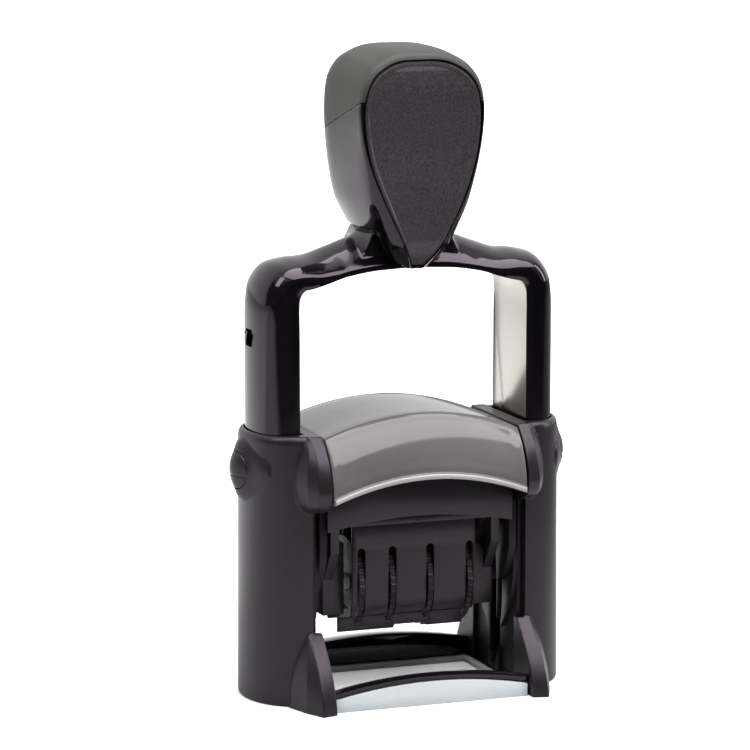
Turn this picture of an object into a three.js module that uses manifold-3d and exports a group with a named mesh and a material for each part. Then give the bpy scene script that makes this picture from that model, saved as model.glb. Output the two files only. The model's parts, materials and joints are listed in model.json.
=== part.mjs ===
// Self-inking date stamp with a bow handle, standing at rest. Millimetres, +Z up, +X to the right
// of a reader who stands in front, and the front towards -Y. The origin is on the table, under the
// middle of the stamp.
import * as THREE from "three";
import { mergeVertices } from "three/addons/utils/BufferGeometryUtils.js";
import Module from "manifold-3d";

const wasm = await Module();
wasm.setup();

// Driving dimensions of the whole stamp
const plateLength = 41;           // impression plate, along X
const plateDepth = 23.5;          // impression plate, along Y
const handleTravel = 29;          // press stroke
const padHeight = 43;             // inked face of the pad above the table
const columnHeight = 59.8;
const inkGap = 0.5;               // rubber to pad at rest, and rubber to table at full press
const seatGap = 0.2;              // between pieces that rest on each other
const slideGap = 0.3;             // beside sliding pieces
const turnGap = 0.15;             // round turning pins
const cut = 1;                    // how far a cutting body overruns

// Mechanism heights, worked out from the pad, the table and the stroke
const rubberFaceZ = padHeight - inkGap;
const plateToAxle = (rubberFaceZ - handleTravel - inkGap) / 2;
const axleZ = rubberFaceZ - plateToAxle;
const axleRadius = 1.8;
const guideOffset = 4;            // guide pin above the axle
const guideRadius = 1.1;

// Side columns, from the impression plate outwards
const plateToColumn = 4.4;
const columnWidth = 11.7;
const columnInnerX = plateLength / 2 + plateToColumn;
const columnTopX = columnInnerX + columnWidth;
const columnDraft = 0.35;
const columnOverPlate = 1.85;
const columnHalfDepth = plateDepth / 2 + columnOverPlate;
const columnFlatX = columnInnerX + 0.16 * columnWidth; // where the flat front turns into the rounded side
const columnRim = 1.8;
const columnRimInset = 1.1;
const columnFloor = 2;
const innerWall = 0.8;
const postRadius = 1.3;
const postHeight = 20;

// Handle bow
const legWidth = 8.55;
const bowInnerX = columnInnerX + 2 * innerWall;
const bowOuterX = bowInnerX + legWidth;
const bowHalfDepth = 9.9;
const pressedGap = 2.3;           // arch to columns at full press
const bowCornerZ = columnHeight + handleTravel + pressedGap; // underside of the arch, beside the corner
const archRise = 4.1;
const bowCrownZ = bowCornerZ + archRise; // underside of the arch, in the middle
const archThickness = 7.4;
const bowTopZ = bowCrownZ + archThickness;
const steelThickness = 1;
const steelInset = 0.4;
const steelHalfDepth = bowHalfDepth - steelInset;
const axleMargin = 4.5;           // leg below the axle
const legBottomZ = axleZ - axleMargin;
const springRadius = 2.35;
const springWire = 0.7;
const springCurls = 11;
const springBoreRadius = 2.9;
const springX = bowInnerX + 0.56 * legWidth;
const springTopDrop = 5.8;
const springTopZ = columnHeight - springTopDrop;

// Lock buttons
const buttonDrop = 8.6;           // button's middle below the column's top
const buttonZ = columnHeight - buttonDrop;
const buttonHalfDepth = 4.9;
const buttonHalfHeight = 4.2;
const buttonStemRadius = 1.7;
const buttonTravel = 1.2;
const bossReach = 2.8;
const bossTipX = columnTopX + bossReach;
const bossHalfDepth = 10.2;
const bossHalfHeight = 7.9;
const bossNose = 2.2;             // rounding of the boss's upright nose
const bossSlope = 0.77;           // how fast it falls back on both sides of the nose
const bossArc = 10.5;             // radius of its outline seen from the front

// Knob
const knobTipDrop = 0.1;
const knobTipZ = bowCrownZ - knobTipDrop;
const knobHeight = 48.4;
const knobTopZ = knobTipZ + knobHeight;
const knobHalfWidth = 14.4;
const knobFrontY = 15;
const knobBackY = 14.5;
const knobSeatRise = 1.4;
const knobSeatZ = bowTopZ + knobSeatRise;
const labelInset = 1.1;
const labelThickness = 1;

// Housing between the columns
const coverMargin = 2;
const coverHalfWidth = plateLength / 2 + coverMargin;
const coverRise = 4.2;
const coverTopZ = columnHeight + coverRise;
const coverDrop = 4.5;            // how much the arch falls from the middle to its ends
const coverWall = 1.4;
const coverLipReach = 8.55;
const coverLipY = plateDepth / 2 + coverLipReach;
const coverLipRise = 7;
const coverLipZ = padHeight + coverLipRise;
const coverLipBead = 0.4;         // how far the rounded lip stands out
const coverEdgeReach = 2.55;
const coverEdgeY = plateDepth / 2 + coverEdgeReach;
const seamWidth = 0.5;            // groove between the cover's top and its sloping sides
const seamDepth = 0.4;
const bridgeTopGap = 2.2;
const trayRoof = 0.7;
const padThickness = 1.6;
const padMargin = 0.2;
const trayWall = 0.25;
const trayLip = 0.75;
const skirtReach = 2.05;
const skirtY = plateDepth / 2 + skirtReach;
const skirtThickness = 0.9;
const skirtMargin = 1.2;
const skirtHalfWidth = plateLength / 2 + skirtMargin;
const skirtBottomZ = 40.8;
const skirtDrop = 2.6;

// Base
const openingMargin = 0.7;        // window opening round the impression plate
const barGap = 2.65;
const barInnerY = plateDepth / 2 + barGap;
const backBarDepth = 7;
const backBarRise = 0.9;          // inner edge of the back bar above its outer edge
const barOuterY = barInnerY + backBarDepth;
const frontBarDepth = 2.2;
const barMargin = 2.2;
const barHalfWidth = plateLength / 2 + barMargin;
const barTopZ = 7.1;
const barDrop = 2.3;
const windowThickness = 1.4;
const lensTopZ = 5.3;
const lensDrop = 2.4;
const lensThickness = 1.2;

// Carriage
const wheelCentreZ = 24.2;
const wheelInset = 1.15;          // wheel's rim behind the impression plate's edge
const wheelRadius = plateDepth / 2 - wheelInset;
const knurlDepth = 0.4;
const knurlCount = 48;
const discThickness = 1.2;
const drumInset = 3.8;
const dishDepth = 0.6;            // hollow in the disc's free face, round the shaft
const drumRadius = wheelRadius - drumInset;
const shaftRadius = 1.9;
const bandThickness = 0.8;
const characterHeight = 0.7;
const endWallThickness = 2;
const endWallX = plateLength / 2 - 1.3 * endWallThickness;
const faceInset = 1.95;           // wheel cover's face behind the impression plate's edge
const coverFaceY = plateDepth / 2 - faceInset;
const sheetWall = 0.9;
const slotWidth = 1.8;
const rubberThickness = 1.1;
const plateThickness = 1;

function plastic(color, roughness = 0.4) {
  return new THREE.MeshStandardMaterial({ color, roughness, metalness: 0 });
}

function metal(color, roughness = 0.3) {
  return new THREE.MeshStandardMaterial({ color, roughness, metalness: 1 });
}

// Geometry to solid and back
function toSolid(geometry) {
  const bare = geometry.clone();
  bare.deleteAttribute("normal");
  bare.deleteAttribute("uv");
  const merged = mergeVertices(bare, 1e-4);
  return new wasm.Manifold(new wasm.Mesh({
    numProp: 3,
    vertProperties: Float32Array.from(merged.attributes.position.array),
    triVerts: Uint32Array.from(merged.index.array),
  }));
}

function toGeometry(solid) {
  const { vertProperties, triVerts, numProp } = solid.getMesh();
  const positions = new Float32Array(triVerts.length * 3);
  triVerts.forEach((vertex, corner) => {
    for (let axis = 0; axis < 3; axis += 1) {
      positions[corner * 3 + axis] = vertProperties[vertex * numProp + axis];
    }
  });
  const geometry = new THREE.BufferGeometry();
  geometry.setAttribute("position", new THREE.BufferAttribute(positions, 3));
  geometry.computeVertexNormals();
  return geometry;
}

// The same solid mirrored across the plane of the origin that axis 0, 1 or 2 stands on
function mirrored(solid, axis) {
  const { numProp, vertProperties, triVerts } = solid.getMesh();
  const turned = triVerts.slice();
  for (let corner = 0; corner < turned.length; corner += 3) {
    [turned[corner + 1], turned[corner + 2]] = [triVerts[corner + 2], triVerts[corner + 1]];
  }
  return new wasm.Manifold(new wasm.Mesh({
    numProp,
    vertProperties: vertProperties.map((value, index) => (index % numProp === axis ? -value : value)),
    triVerts: turned,
  }));
}

// Outline helpers: an outline is a list of [a, b] points or a THREE.Shape
function shapeOf(outline) {
  if (outline instanceof THREE.Shape) return outline;
  return new THREE.Shape(outline.map(([a, b]) => new THREE.Vector2(a, b)));
}

function extruded(outline, length, steps, curveSegments) {
  return new THREE.ExtrudeGeometry(shapeOf(outline), {
    depth: length, steps, curveSegments, bevelEnabled: false,
  });
}

const swapToX = new THREE.Matrix4().set(0, 0, 1, 0, 1, 0, 0, 0, 0, 1, 0, 0, 0, 0, 0, 1);
const swapToY = new THREE.Matrix4().set(1, 0, 0, 0, 0, 0, -1, 0, 0, 1, 0, 0, 0, 0, 0, 1);

// A (y, z) outline pushed along X, an (x, z) outline along Y and an (x, y) outline along Z
function prismX(outline, x0, x1, steps = 1, change = null, curveSegments = 8) {
  const geometry = extruded(outline, x1 - x0, steps, curveSegments);
  geometry.applyMatrix4(swapToX).translate(x0, 0, 0);
  if (change) reshape(geometry, change);
  return toSolid(geometry);
}

function prismY(outline, y0, y1, curveSegments = 8) {
  const geometry = extruded(outline, y1 - y0, 1, curveSegments);
  geometry.applyMatrix4(swapToY).translate(0, y1, 0);
  return toSolid(geometry);
}

function prismZ(outline, z0, z1, curveSegments = 8) {
  const geometry = extruded(outline, z1 - z0, 1, curveSegments);
  geometry.translate(0, 0, z0);
  return toSolid(geometry);
}

function box(x0, x1, y0, y1, z0, z1) {
  const geometry = new THREE.BoxGeometry(x1 - x0, y1 - y0, z1 - z0);
  geometry.translate((x0 + x1) / 2, (y0 + y1) / 2, (z0 + z1) / 2);
  return toSolid(geometry);
}

function rodX(radius, x0, x1, y, z, sides = 20) {
  const geometry = new THREE.CylinderGeometry(radius, radius, x1 - x0, sides);
  geometry.rotateZ(-Math.PI / 2).translate((x0 + x1) / 2, y, z);
  return toSolid(geometry);
}

function rodZ(radius, z0, z1, x, y, sides = 20) {
  const geometry = new THREE.CylinderGeometry(radius, radius, z1 - z0, sides);
  geometry.rotateX(Math.PI / 2).translate(x, y, (z0 + z1) / 2);
  return toSolid(geometry);
}

// Turned form about an axis along X: profile points are [radius, x]
function turnedX(profile, y, z, sides = 20) {
  const points = profile.map(([radius, x]) => new THREE.Vector2(radius, x));
  const geometry = new THREE.LatheGeometry(points, sides);
  geometry.rotateZ(-Math.PI / 2).translate(0, y, z);
  return outward(toSolid(geometry), geometry);
}

function outward(solid, geometry) {
  if (solid.volume() > 0) return solid;
  const flipped = geometry.index ? geometry.toNonIndexed() : geometry;
  const { array } = flipped.attributes.position;
  for (let corner = 0; corner < array.length; corner += 9) {
    for (let axis = 0; axis < 3; axis += 1) {
      const kept = array[corner + 3 + axis];
      array[corner + 3 + axis] = array[corner + 6 + axis];
      array[corner + 6 + axis] = kept;
    }
  }
  return toSolid(flipped);
}

function reshape(geometry, change) {
  const { position } = geometry.attributes;
  const point = new THREE.Vector3();
  for (let index = 0; index < position.count; index += 1) {
    point.fromBufferAttribute(position, index);
    change(point);
    position.setXYZ(index, point.x, point.y, point.z);
  }
}

// Skin over rings of equal length, closed by flat caps. capOutline gives the ring's points in two
// dimensions, so that a notched ring is capped rightly.
function loft(rings, capOutline) {
  const size = rings[0].length;
  const corners = [];
  const push = (...points) => points.forEach((point) => corners.push(point.x, point.y, point.z));
  for (let ring = 0; ring + 1 < rings.length; ring += 1) {
    for (let index = 0; index < size; index += 1) {
      const next = (index + 1) % size;
      const [a, b] = [rings[ring][index], rings[ring][next]];
      const [c, d] = [rings[ring + 1][next], rings[ring + 1][index]];
      push(a, b, c, a, c, d);
    }
  }
  const outline = capOutline.map(([a, b]) => new THREE.Vector2(a, b));
  const turned = THREE.ShapeUtils.isClockWise(outline);
  const last = rings[rings.length - 1];
  THREE.ShapeUtils.triangulateShape(outline, []).forEach(([a, second, third]) => {
    const [b, c] = turned ? [third, second] : [second, third];
    push(rings[0][a], rings[0][c], rings[0][b]);
    push(last[a], last[b], last[c]);
  });
  const geometry = new THREE.BufferGeometry();
  geometry.setAttribute("position", new THREE.Float32BufferAttribute(corners, 3));
  return outward(toSolid(geometry), geometry);
}

function joined(...solids) {
  return solids.reduce((sum, solid) => sum.add(solid));
}

function less(solid, ...cutters) {
  return cutters.reduce((rest, cutter) => rest.subtract(cutter), solid);
}

// The arch over the housing falls off with the square of the distance from the middle
function archDrop(x, drop) {
  return drop * (x / coverHalfWidth) ** 2;
}

function lowerAlong(drop) {
  return (point) => {
    point.z -= archDrop(point.x, drop);
  };
}

// Plan outline of a column or leg: straight inner and front faces and an elliptical outer side
function roundedSide(innerX, flatX, outerX, halfDepth, pieces = 8) {
  const outline = [[innerX, -halfDepth]];
  for (let index = 0; index <= 2 * pieces; index += 1) {
    const turn = -Math.PI / 2 + (index * Math.PI) / (2 * pieces);
    outline.push([flatX + (outerX - flatX) * Math.cos(turn), halfDepth * Math.sin(turn)]);
  }
  outline.push([innerX, halfDepth]);
  return outline;
}

// Right column, standing on the table: shell, wings beside the cover, feet and button boss
const legFlatShare = 0.41;        // of the leg's width, where its flat front turns into the rounded side
const legFlatX = bowInnerX + legFlatShare * legWidth;
const wingBottomZ = padHeight;
const wingDepth = 6.3;
const wingWidth = 4.1;
const wingOuterX = columnInnerX + wingWidth;
const wingInnerX = coverHalfWidth + 2 * seatGap;
const finHeight = 16.3;
const finDepth = 10.7;
const finWidth = 5.5;
const finOuterX = columnInnerX + finWidth;
const finRidgeWidth = 1.5;
const finRidgeX = columnInnerX + finRidgeWidth;
const finInnerX = barHalfWidth + seatGap;
const rootDepth = 1.6;            // how deep a wing or foot is rooted in the column

function columnShell() {
  const levelShares = [0, 0.06, 0.35, 1];
  const insetShares = [1, 0.6, 0.25, 0];
  const levels = [];
  levelShares.forEach((share, index) => levels.push([share * columnRim / 2, insetShares[index] * columnRimInset / 2]));
  [...levelShares].reverse().forEach((share, index) => {
    levels.push([columnHeight - share * columnRim, insetShares[levelShares.length - 1 - index] * columnRimInset]);
  });
  const outlines = levels.map(([z, inset]) => {
    const outerX = columnTopX + columnDraft * (1 - z / columnHeight);
    return roundedSide(columnInnerX, columnFlatX, outerX - inset, columnHalfDepth - inset);
  });
  const rings = outlines.map((outline, level) => (
    outline.map(([x, y]) => new THREE.Vector3(x, y, levels[level][0]))));
  return loft(rings, outlines[0]);
}

// Leaf on the column's front, from its bottom to its point: ridge, inner edge and outer edge
function wing() {
  const heightShares = [0, 0.05, 0.14, 0.28, 0.45, 0.66, 0.84, 1];
  const depthShares = [0.12, 0.5, 0.86, 1, 0.94, 0.74, 0.42, 0.02];
  const outerShares = [0.3, 0.6, 0.84, 0.97, 1, 0.86, 0.6, 0.28];
  const rootY = -columnHalfDepth + rootDepth;
  const outlines = heightShares.map((share, index) => {
    const depth = depthShares[index] * wingDepth;
    const outerX = columnInnerX + outerShares[index] * (wingOuterX - columnInnerX);
    const ridgeX = columnInnerX + 0.2 * outerShares[index] * (wingOuterX - columnInnerX);
    return [
      [wingInnerX, rootY], [wingInnerX, -columnHalfDepth - depth * 1.1],
      [ridgeX, -columnHalfDepth - depth], [(ridgeX + outerX) / 2, -columnHalfDepth - depth * 0.62],
      [outerX, -columnHalfDepth + depthShares[0] * rootDepth], [outerX, rootY],
    ];
  });
  const rings = outlines.map((outline, index) => {
    const z = wingBottomZ + heightShares[index] * (columnHeight - wingBottomZ);
    return outline.map(([x, y]) => new THREE.Vector3(x, y, z));
  });
  return loft(rings, outlines[0]);
}

// Foot that runs forward from the column's lower end
function fin() {
  const rootY = -columnHalfDepth + rootDepth;
  const outlines = [];
  const rings = [];
  const levels = 8;
  for (let index = 0; index <= levels; index += 1) {
    const share = index === levels ? 0.985 : Math.sin((index / levels) * Math.PI / 2);
    const depth = finDepth * (1 - share ** 1.7);
    const outerX = columnInnerX + (finOuterX - columnInnerX) * (0.2 + 0.8 * (1 - share ** 2.3));
    const ridgeX = Math.min(columnInnerX + (finRidgeX - columnInnerX) * (1 - 0.4 * share), outerX);
    const outline = [
      [finInnerX, rootY], [finInnerX, -columnHalfDepth - depth * 0.92],
      [ridgeX, -columnHalfDepth - depth],
      [ridgeX + 0.6 * (outerX - ridgeX), -columnHalfDepth - depth * 0.56],
      [outerX, -columnHalfDepth], [outerX, rootY],
    ];
    outlines.push(outline);
    rings.push(outline.map(([x, y]) => new THREE.Vector3(x, y, share * finHeight)));
  }
  return loft(rings, outlines[0]);
}

// The boss and the button share one outer surface: an upright nose that falls back to both sides
function noseX(y, z) {
  return bossTipX + bossNose - Math.hypot(bossNose, bossSlope * y) - (z - buttonZ) ** 2 / (2 * bossArc);
}

function ringX(radiusY, radiusZ, placeX) {
  const corners = 32;
  const ring = [];
  for (let corner = 0; corner < corners; corner += 1) {
    const turn = (corner / corners) * 2 * Math.PI;
    const [y, z] = [radiusY * Math.cos(turn), buttonZ + radiusZ * Math.sin(turn)];
    ring.push(new THREE.Vector3(placeX(y, z), y, z));
  }
  return ring;
}

// Stepped oval solid about the button's axis; a step is [share of the two half sizes, x]
function ovalRings(radiusY, radiusZ, steps) {
  return steps.map(([share, x]) => ringX(share * radiusY, share * radiusZ, () => x));
}

function ovalX(radiusY, radiusZ, steps) {
  const rings = ovalRings(radiusY, radiusZ, steps);
  return loft(rings, rings[0].map((point) => [point.y, point.z]));
}

// The same, closed by the nose's surface
function noseSolid(radiusY, radiusZ, steps) {
  const rings = ovalRings(radiusY, radiusZ, steps);
  [1, 0.82, 0.64, 0.46, 0.28, 0.02].forEach((share) => {
    rings.push(ringX(share * radiusY, share * radiusZ, (y, z) => Math.max(noseX(y, z), steps[0][1] + seatGap)));
  });
  return loft(rings, rings[0].map((point) => [point.y, point.z]));
}

function buttonBoss() {
  return noseSolid(bossHalfDepth, bossHalfHeight, [[1, bowOuterX - 2 * rootDepth]]);
}

function column() {
  const frontPieces = joined(wing(), fin());
  const cavity = prismZ(
    roundedSide(columnInnerX + innerWall, legFlatX, bowOuterX + slideGap, bowHalfDepth + slideGap),
    columnFloor, columnHeight + cut);
  const post = rodZ(postRadius, columnFloor - seatGap, postHeight, springX, 0);
  const slotHalf = axleRadius + slideGap;
  const axleSlot = box(columnInnerX - cut, columnInnerX + innerWall + cut, -slotHalf, slotHalf,
    columnFloor, axleZ + slotHalf);
  const bore = ovalX(buttonHalfDepth + turnGap, buttonHalfHeight + turnGap,
    [[1, bowOuterX - cut], [1, bossTipX + cut]]);
  return less(
    joined(columnShell(), frontPieces, mirrored(frontPieces, 1), buttonBoss()),
    cavity, axleSlot, bore).add(post);
}

// Lock button with its stem, pushed towards the leg. Its outer face lies in the boss's surface.
function lockButton() {
  const stemShare = buttonStemRadius / buttonHalfHeight;
  const stemX = bowOuterX + seatGap;
  const seatX = stemX + buttonTravel + slideGap;
  return noseSolid(buttonHalfDepth, buttonHalfHeight, [[stemShare, stemX], [stemShare, seatX], [1, seatX]]);
}

// Stations of the bow from the right leg's lower end to the middle of the arch: the inner and outer
// contour, as shares of the leg's and the arch's sizes
function bowStations() {
  const width = legWidth;
  const legTopZ = bowCornerZ - width * 0.31;
  const rise = archRise;
  const shoulder = bowTopZ - bowCornerZ;
  const inner = [
    [bowInnerX, legBottomZ], [bowInnerX, legTopZ - width], [bowInnerX, legTopZ],
    [bowInnerX - width * 0.06, bowCornerZ - width * 0.13], [bowInnerX - width * 0.17, bowCornerZ],
    [bowInnerX * 0.87, bowCornerZ + rise * 0.1], [bowInnerX * 0.75, bowCornerZ + rise * 0.32],
    [bowInnerX * 0.6, bowCornerZ + rise * 0.62], [bowInnerX * 0.36, bowCornerZ + rise * 0.88],
    [0, bowCrownZ],
  ];
  const outer = [
    [bowOuterX, legBottomZ], [bowOuterX, legTopZ - width], [bowOuterX * 0.993, legTopZ],
    [bowOuterX * 0.965, bowCornerZ + shoulder * 0.13], [bowOuterX * 0.885, bowCornerZ + shoulder * 0.44],
    [bowOuterX * 0.765, bowCornerZ + shoulder * 0.55], [bowOuterX * 0.63, bowCornerZ + shoulder * 0.59],
    [bowOuterX * 0.49, bowCornerZ + shoulder * 0.73], [bowOuterX * 0.29, bowCornerZ + shoulder * 0.93],
    [0, bowTopZ],
  ];
  const curve = (points) => new THREE.CatmullRomCurve3(
    points.map(([x, z]) => new THREE.Vector3(x, 0, z)), false, "centripetal");
  return { inner: curve(inner), outer: curve(outer), spans: inner.length - 1 };
}

// Sweep of a section along the bow, both legs and the arch. A section point is [depth share
// between the inner and outer contour, depth beyond it in mm, y].
function alongBow(section, capOutline) {
  const { inner, outer, spans } = bowStations();
  const perSpan = 2;
  const rings = [];
  const ringAt = (place, side) => {
    const near = inner.getPoint(place);
    const far = outer.getPoint(place);
    const way = far.clone().sub(near);
    const unit = way.clone().normalize();
    return section.map(([share, extra, y]) => {
      const point = near.clone().addScaledVector(way, share).addScaledVector(unit, extra);
      return new THREE.Vector3(side * point.x, y, point.z);
    });
  };
  const places = [0];
  for (let span = 1; span < spans; span += 1) {
    for (let step = 0; step < perSpan; step += 1) places.push((span + step / perSpan) / spans);
  }
  places.forEach((place) => rings.push(ringAt(place, 1)));
  rings.push(ringAt(1, 1));
  [...places].reverse().forEach((place) => rings.push(ringAt(place, -1)));
  return loft(rings, capOutline);
}

const channelDepth = steelThickness + seatGap / 2;
const channelHalf = steelHalfDepth + seatGap / 2;

function bowSweep() {
  const half = bowHalfDepth;
  const outerSteps = 5;
  const flatShare = legFlatShare;
  const section = [[0, 0, -half], [flatShare / 2, 0, -half]];
  for (let index = 0; index <= 2 * outerSteps; index += 1) {
    const turn = -Math.PI / 2 + (index * Math.PI) / (2 * outerSteps);
    section.push([flatShare + (1 - flatShare) * Math.cos(turn), 0, half * Math.sin(turn)]);
  }
  section.push([flatShare / 2, 0, half], [0, 0, half], [0, 0, channelHalf]);
  section.push([0, channelDepth, channelHalf], [0, channelDepth, -channelHalf], [0, 0, -channelHalf]);
  const capOutline = section.map(([share, extra, y]) => (
    [share * legWidth + extra, y]));
  return alongBow(section, capOutline);
}

function neck() {
  const footZ = bowCrownZ + 0.43 * archThickness;
  const levelShares = [0, 0.3, 0.6, 0.85, 1];
  const widthShares = [1.15, 0.87, 0.69, 0.6, 0.58];
  const depthShares = [0.7, 0.72, 0.76, 0.82, 0.86];
  const corners = 20;
  const outlines = levelShares.map((share, index) => {
    const outline = [];
    for (let corner = 0; corner < corners; corner += 1) {
      const turn = (corner / corners) * 2 * Math.PI;
      const [c, s] = [Math.cos(turn), Math.sin(turn)];
      const soften = (Math.abs(c) ** 3 + Math.abs(s) ** 3) ** (-1 / 3);
      outline.push([c * soften * widthShares[index] * knobHalfWidth,
        s * soften * depthShares[index] * bowHalfDepth]);
    }
    return outline;
  });
  const topZ = knobSeatZ - seatGap;
  const rings = outlines.map((outline, index) => outline.map(([x, y]) => (
    new THREE.Vector3(x, y, footZ + levelShares[index] * (topZ - footZ)))));
  return loft(rings, outlines[0]);
}

// Handle bow: one moulding with both legs, the arch, the neck, the spring and axle bores and the
// notches that the lock buttons enter at rest and at full press
function handleBow() {
  let bow = joined(bowSweep(), neck());
  const notchDepth = buttonTravel + slideGap;
  [1, -1].forEach((side) => {
    const springBore = rodZ(springBoreRadius, legBottomZ - cut, springTopZ, side * springX, 0, 16);
    const axleBore = side > 0
      ? rodX(axleRadius + turnGap, bowInnerX - cut, springX - springBoreRadius, 0, axleZ)
      : rodX(axleRadius + turnGap, -springX + springBoreRadius, -bowInnerX + cut, 0, axleZ);
    bow = less(bow, springBore, axleBore);
    [0, handleTravel].forEach((rise) => {
      const half = buttonStemRadius + slideGap;
      const outerX = side * (bowOuterX + cut);
      const innerX = side * (bowOuterX - notchDepth);
      bow = bow.subtract(box(Math.min(innerX, outerX), Math.max(innerX, outerX), -2 * half, 2 * half,
        buttonZ + rise - half, buttonZ + rise + half));
    });
  });
  return bow;
}

// Steel strip bent to the inside of the bow, which carries the axles
function steelBow() {
  const section = [[0, 0, -steelHalfDepth], [0, 0, steelHalfDepth],
    [0, steelThickness, steelHalfDepth], [0, steelThickness, -steelHalfDepth]];
  const capOutline = section.map(([, extra, y]) => [extra, y]);
  const strip = alongBow(section, capOutline);
  return [1, -1].reduce((rest, side) => rest.subtract(side > 0
    ? rodX(axleRadius + turnGap, bowInnerX - cut, bowInnerX + 2 * steelThickness, 0, axleZ)
    : rodX(axleRadius + turnGap, -bowInnerX - 2 * steelThickness, -bowInnerX + cut, 0, axleZ)), strip);
}

// Teardrop seen from the front: rows of height share, half-width share, and how much the middle of
// the knob rises and widens beyond the front there, as shares of the half-width
const teardropShares = [
  [0, 0.1, 0, 0.34], [0.1, 0.3, 0, 0.34], [0.175, 0.43, 0, 0.32], [0.31, 0.66, 0, 0.25],
  [0.46, 0.86, 0, 0.12], [0.6, 0.97, 0, 0.03], [0.72, 1, 0.02, 0], [0.82, 0.945, 0.12, 0.01],
  [0.885, 0.825, 0.14, 0], [0.93, 0.63, 0.12, 0], [0.956, 0.42, 0.11, 0], [0.965, 0.2, 0.105, 0],
];

function teardropRows(bottomZ, height, halfWidth) {
  const curve = (first, second) => new THREE.CatmullRomCurve3(
    teardropShares.map((row) => new THREE.Vector3(row[first], row[0], row[second])), false, "centripetal");
  const outline = curve(1, 2);
  const back = curve(3, 2);
  const count = 24;
  const rows = [];
  for (let index = 0; index <= count; index += 1) {
    const point = outline.getPoint(index / count);
    rows.push({
      share: point.y, width: point.x, half: point.x * halfWidth, z: bottomZ + point.y * height,
      rise: point.z * halfWidth, spread: back.getPoint(index / count).x * halfWidth,
    });
  }
  return rows;
}

// The front swells forward below the middle and turns back at the tip
function frontDepth(share) {
  const swell = knobFrontY * 0.06 * Math.exp(-(((share - 0.3) / 0.2) ** 2));
  const tip = knobFrontY * 0.27 * Math.max(0, 1 - share / 0.13) ** 1.6;
  const crown = knobFrontY * 0.09 * Math.max(0, (share - 0.8) / 0.17) ** 2;
  return knobFrontY + swell - tip - crown;
}

// Skin through teardrop rings set one behind the other, from the front to the back
function teardropLoft(rows, layers) {
  const rings = layers.map(({ depth, shrink, lift, raise }) => {
    const side = (sign) => rows.map((row) => {
      const crown = Math.max(0, (row.share - 0.6) / 0.365) ** 2;
      const low = Math.max(0, 1 - row.share / 0.3);
      const half = Math.max(row.half + lift * row.spread - shrink * Math.min(1, row.width * 1.5),
        row.half * 0.2);
      return new THREE.Vector3(sign * half, depth(row.share),
        row.z + lift * row.rise - shrink * crown + raise * low);
    });
    return [...side(1), ...side(-1).reverse()];
  });
  const size = rings[0].length;
  const corners = [];
  const push = (...points) => points.forEach((point) => corners.push(point.x, point.y, point.z));
  for (let ring = 0; ring + 1 < rings.length; ring += 1) {
    for (let index = 0; index < size; index += 1) {
      const next = (index + 1) % size;
      push(rings[ring][index], rings[ring][next], rings[ring + 1][next]);
      push(rings[ring][index], rings[ring + 1][next], rings[ring + 1][index]);
    }
  }
  // The caps follow the rows, because the front isn't flat
  [rings[0], rings[rings.length - 1]].forEach((ring, end) => {
    for (let row = 0; row + 1 < rows.length; row += 1) {
      const [a, b] = [ring[row], ring[row + 1]];
      const [c, d] = [ring[size - 2 - row], ring[size - 1 - row]];
      if (end === 0) push(a, d, c, a, c, b);
      else push(a, c, d, a, b, c);
    }
  });
  const geometry = new THREE.BufferGeometry();
  geometry.setAttribute("position", new THREE.Float32BufferAttribute(corners, 3));
  return outward(toSolid(geometry), geometry);
}

function knobWhole() {
  const rows = teardropRows(knobTipZ, knobHeight, knobHalfWidth);
  const edge = knobHalfWidth * 0.05;
  const back = knobBackY;
  const layers = [
    { depth: (share) => -frontDepth(share), shrink: edge, lift: 0, raise: 0 },
    { depth: (share) => -frontDepth(share) + edge * 0.4, shrink: edge * 0.3, lift: 0, raise: 0 },
    { depth: (share) => -frontDepth(share) + edge * 1.2, shrink: 0, lift: 0.15, raise: 0 },
    { depth: (share) => -frontDepth(share) + edge * 4, shrink: 0, lift: 0.5, raise: 0 },
    { depth: () => -back * 0.45, shrink: 0, lift: 0.85, raise: edge },
    { depth: () => 0, shrink: 0, lift: 1, raise: edge * 3 },
    { depth: () => back * 0.45, shrink: 0, lift: 0.9, raise: edge * 5 },
    { depth: () => back * 0.7, shrink: edge * 0.8, lift: 0.7, raise: edge * 6.5 },
    { depth: () => back * 0.88, shrink: edge * 2.4, lift: 0.4, raise: edge * 7.5 },
    { depth: () => back * 0.97, shrink: edge * 4, lift: 0.1, raise: edge * 8.5 },
    { depth: () => back, shrink: edge * 5.6, lift: 0, raise: edge * 9 },
  ];
  return teardropLoft(rows, layers);
}

// Badge plate, left blank, lying on the knob's front. grow makes its recess.
function labelBody(grow) {
  const bottomZ = knobTipZ + 0.6 * labelInset - grow;
  const height = knobHeight - 2 * labelInset + 2 * grow;
  const rows = teardropRows(bottomZ, height, knobHalfWidth - labelInset + grow);
  const layers = [
    { depth: (share) => -frontDepth(share) - seatGap - 5 * grow, shrink: 0, lift: 0, raise: 0 },
    { depth: (share) => -frontDepth(share) + labelThickness - seatGap + grow, shrink: 0, lift: 0, raise: 0 },
  ];
  return teardropLoft(rows, layers);
}

// The soft cap lies above a parting plane that falls towards the back
const partFrontZ = knobTipZ + 0.762 * knobHeight;
const partBackZ = knobTipZ + 0.572 * knobHeight;

function abovePart(offset) {
  const reach = 2 * knobHalfWidth;
  const slope = (partFrontZ - partBackZ) / (knobFrontY + knobBackY);
  const heightAt = (y) => partFrontZ - slope * (y + knobFrontY) + offset;
  return prismX([[-reach, heightAt(-reach)], [reach, heightAt(reach)],
    [reach, knobTopZ + reach], [-reach, knobTopZ + reach]], -reach, reach);
}

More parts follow.
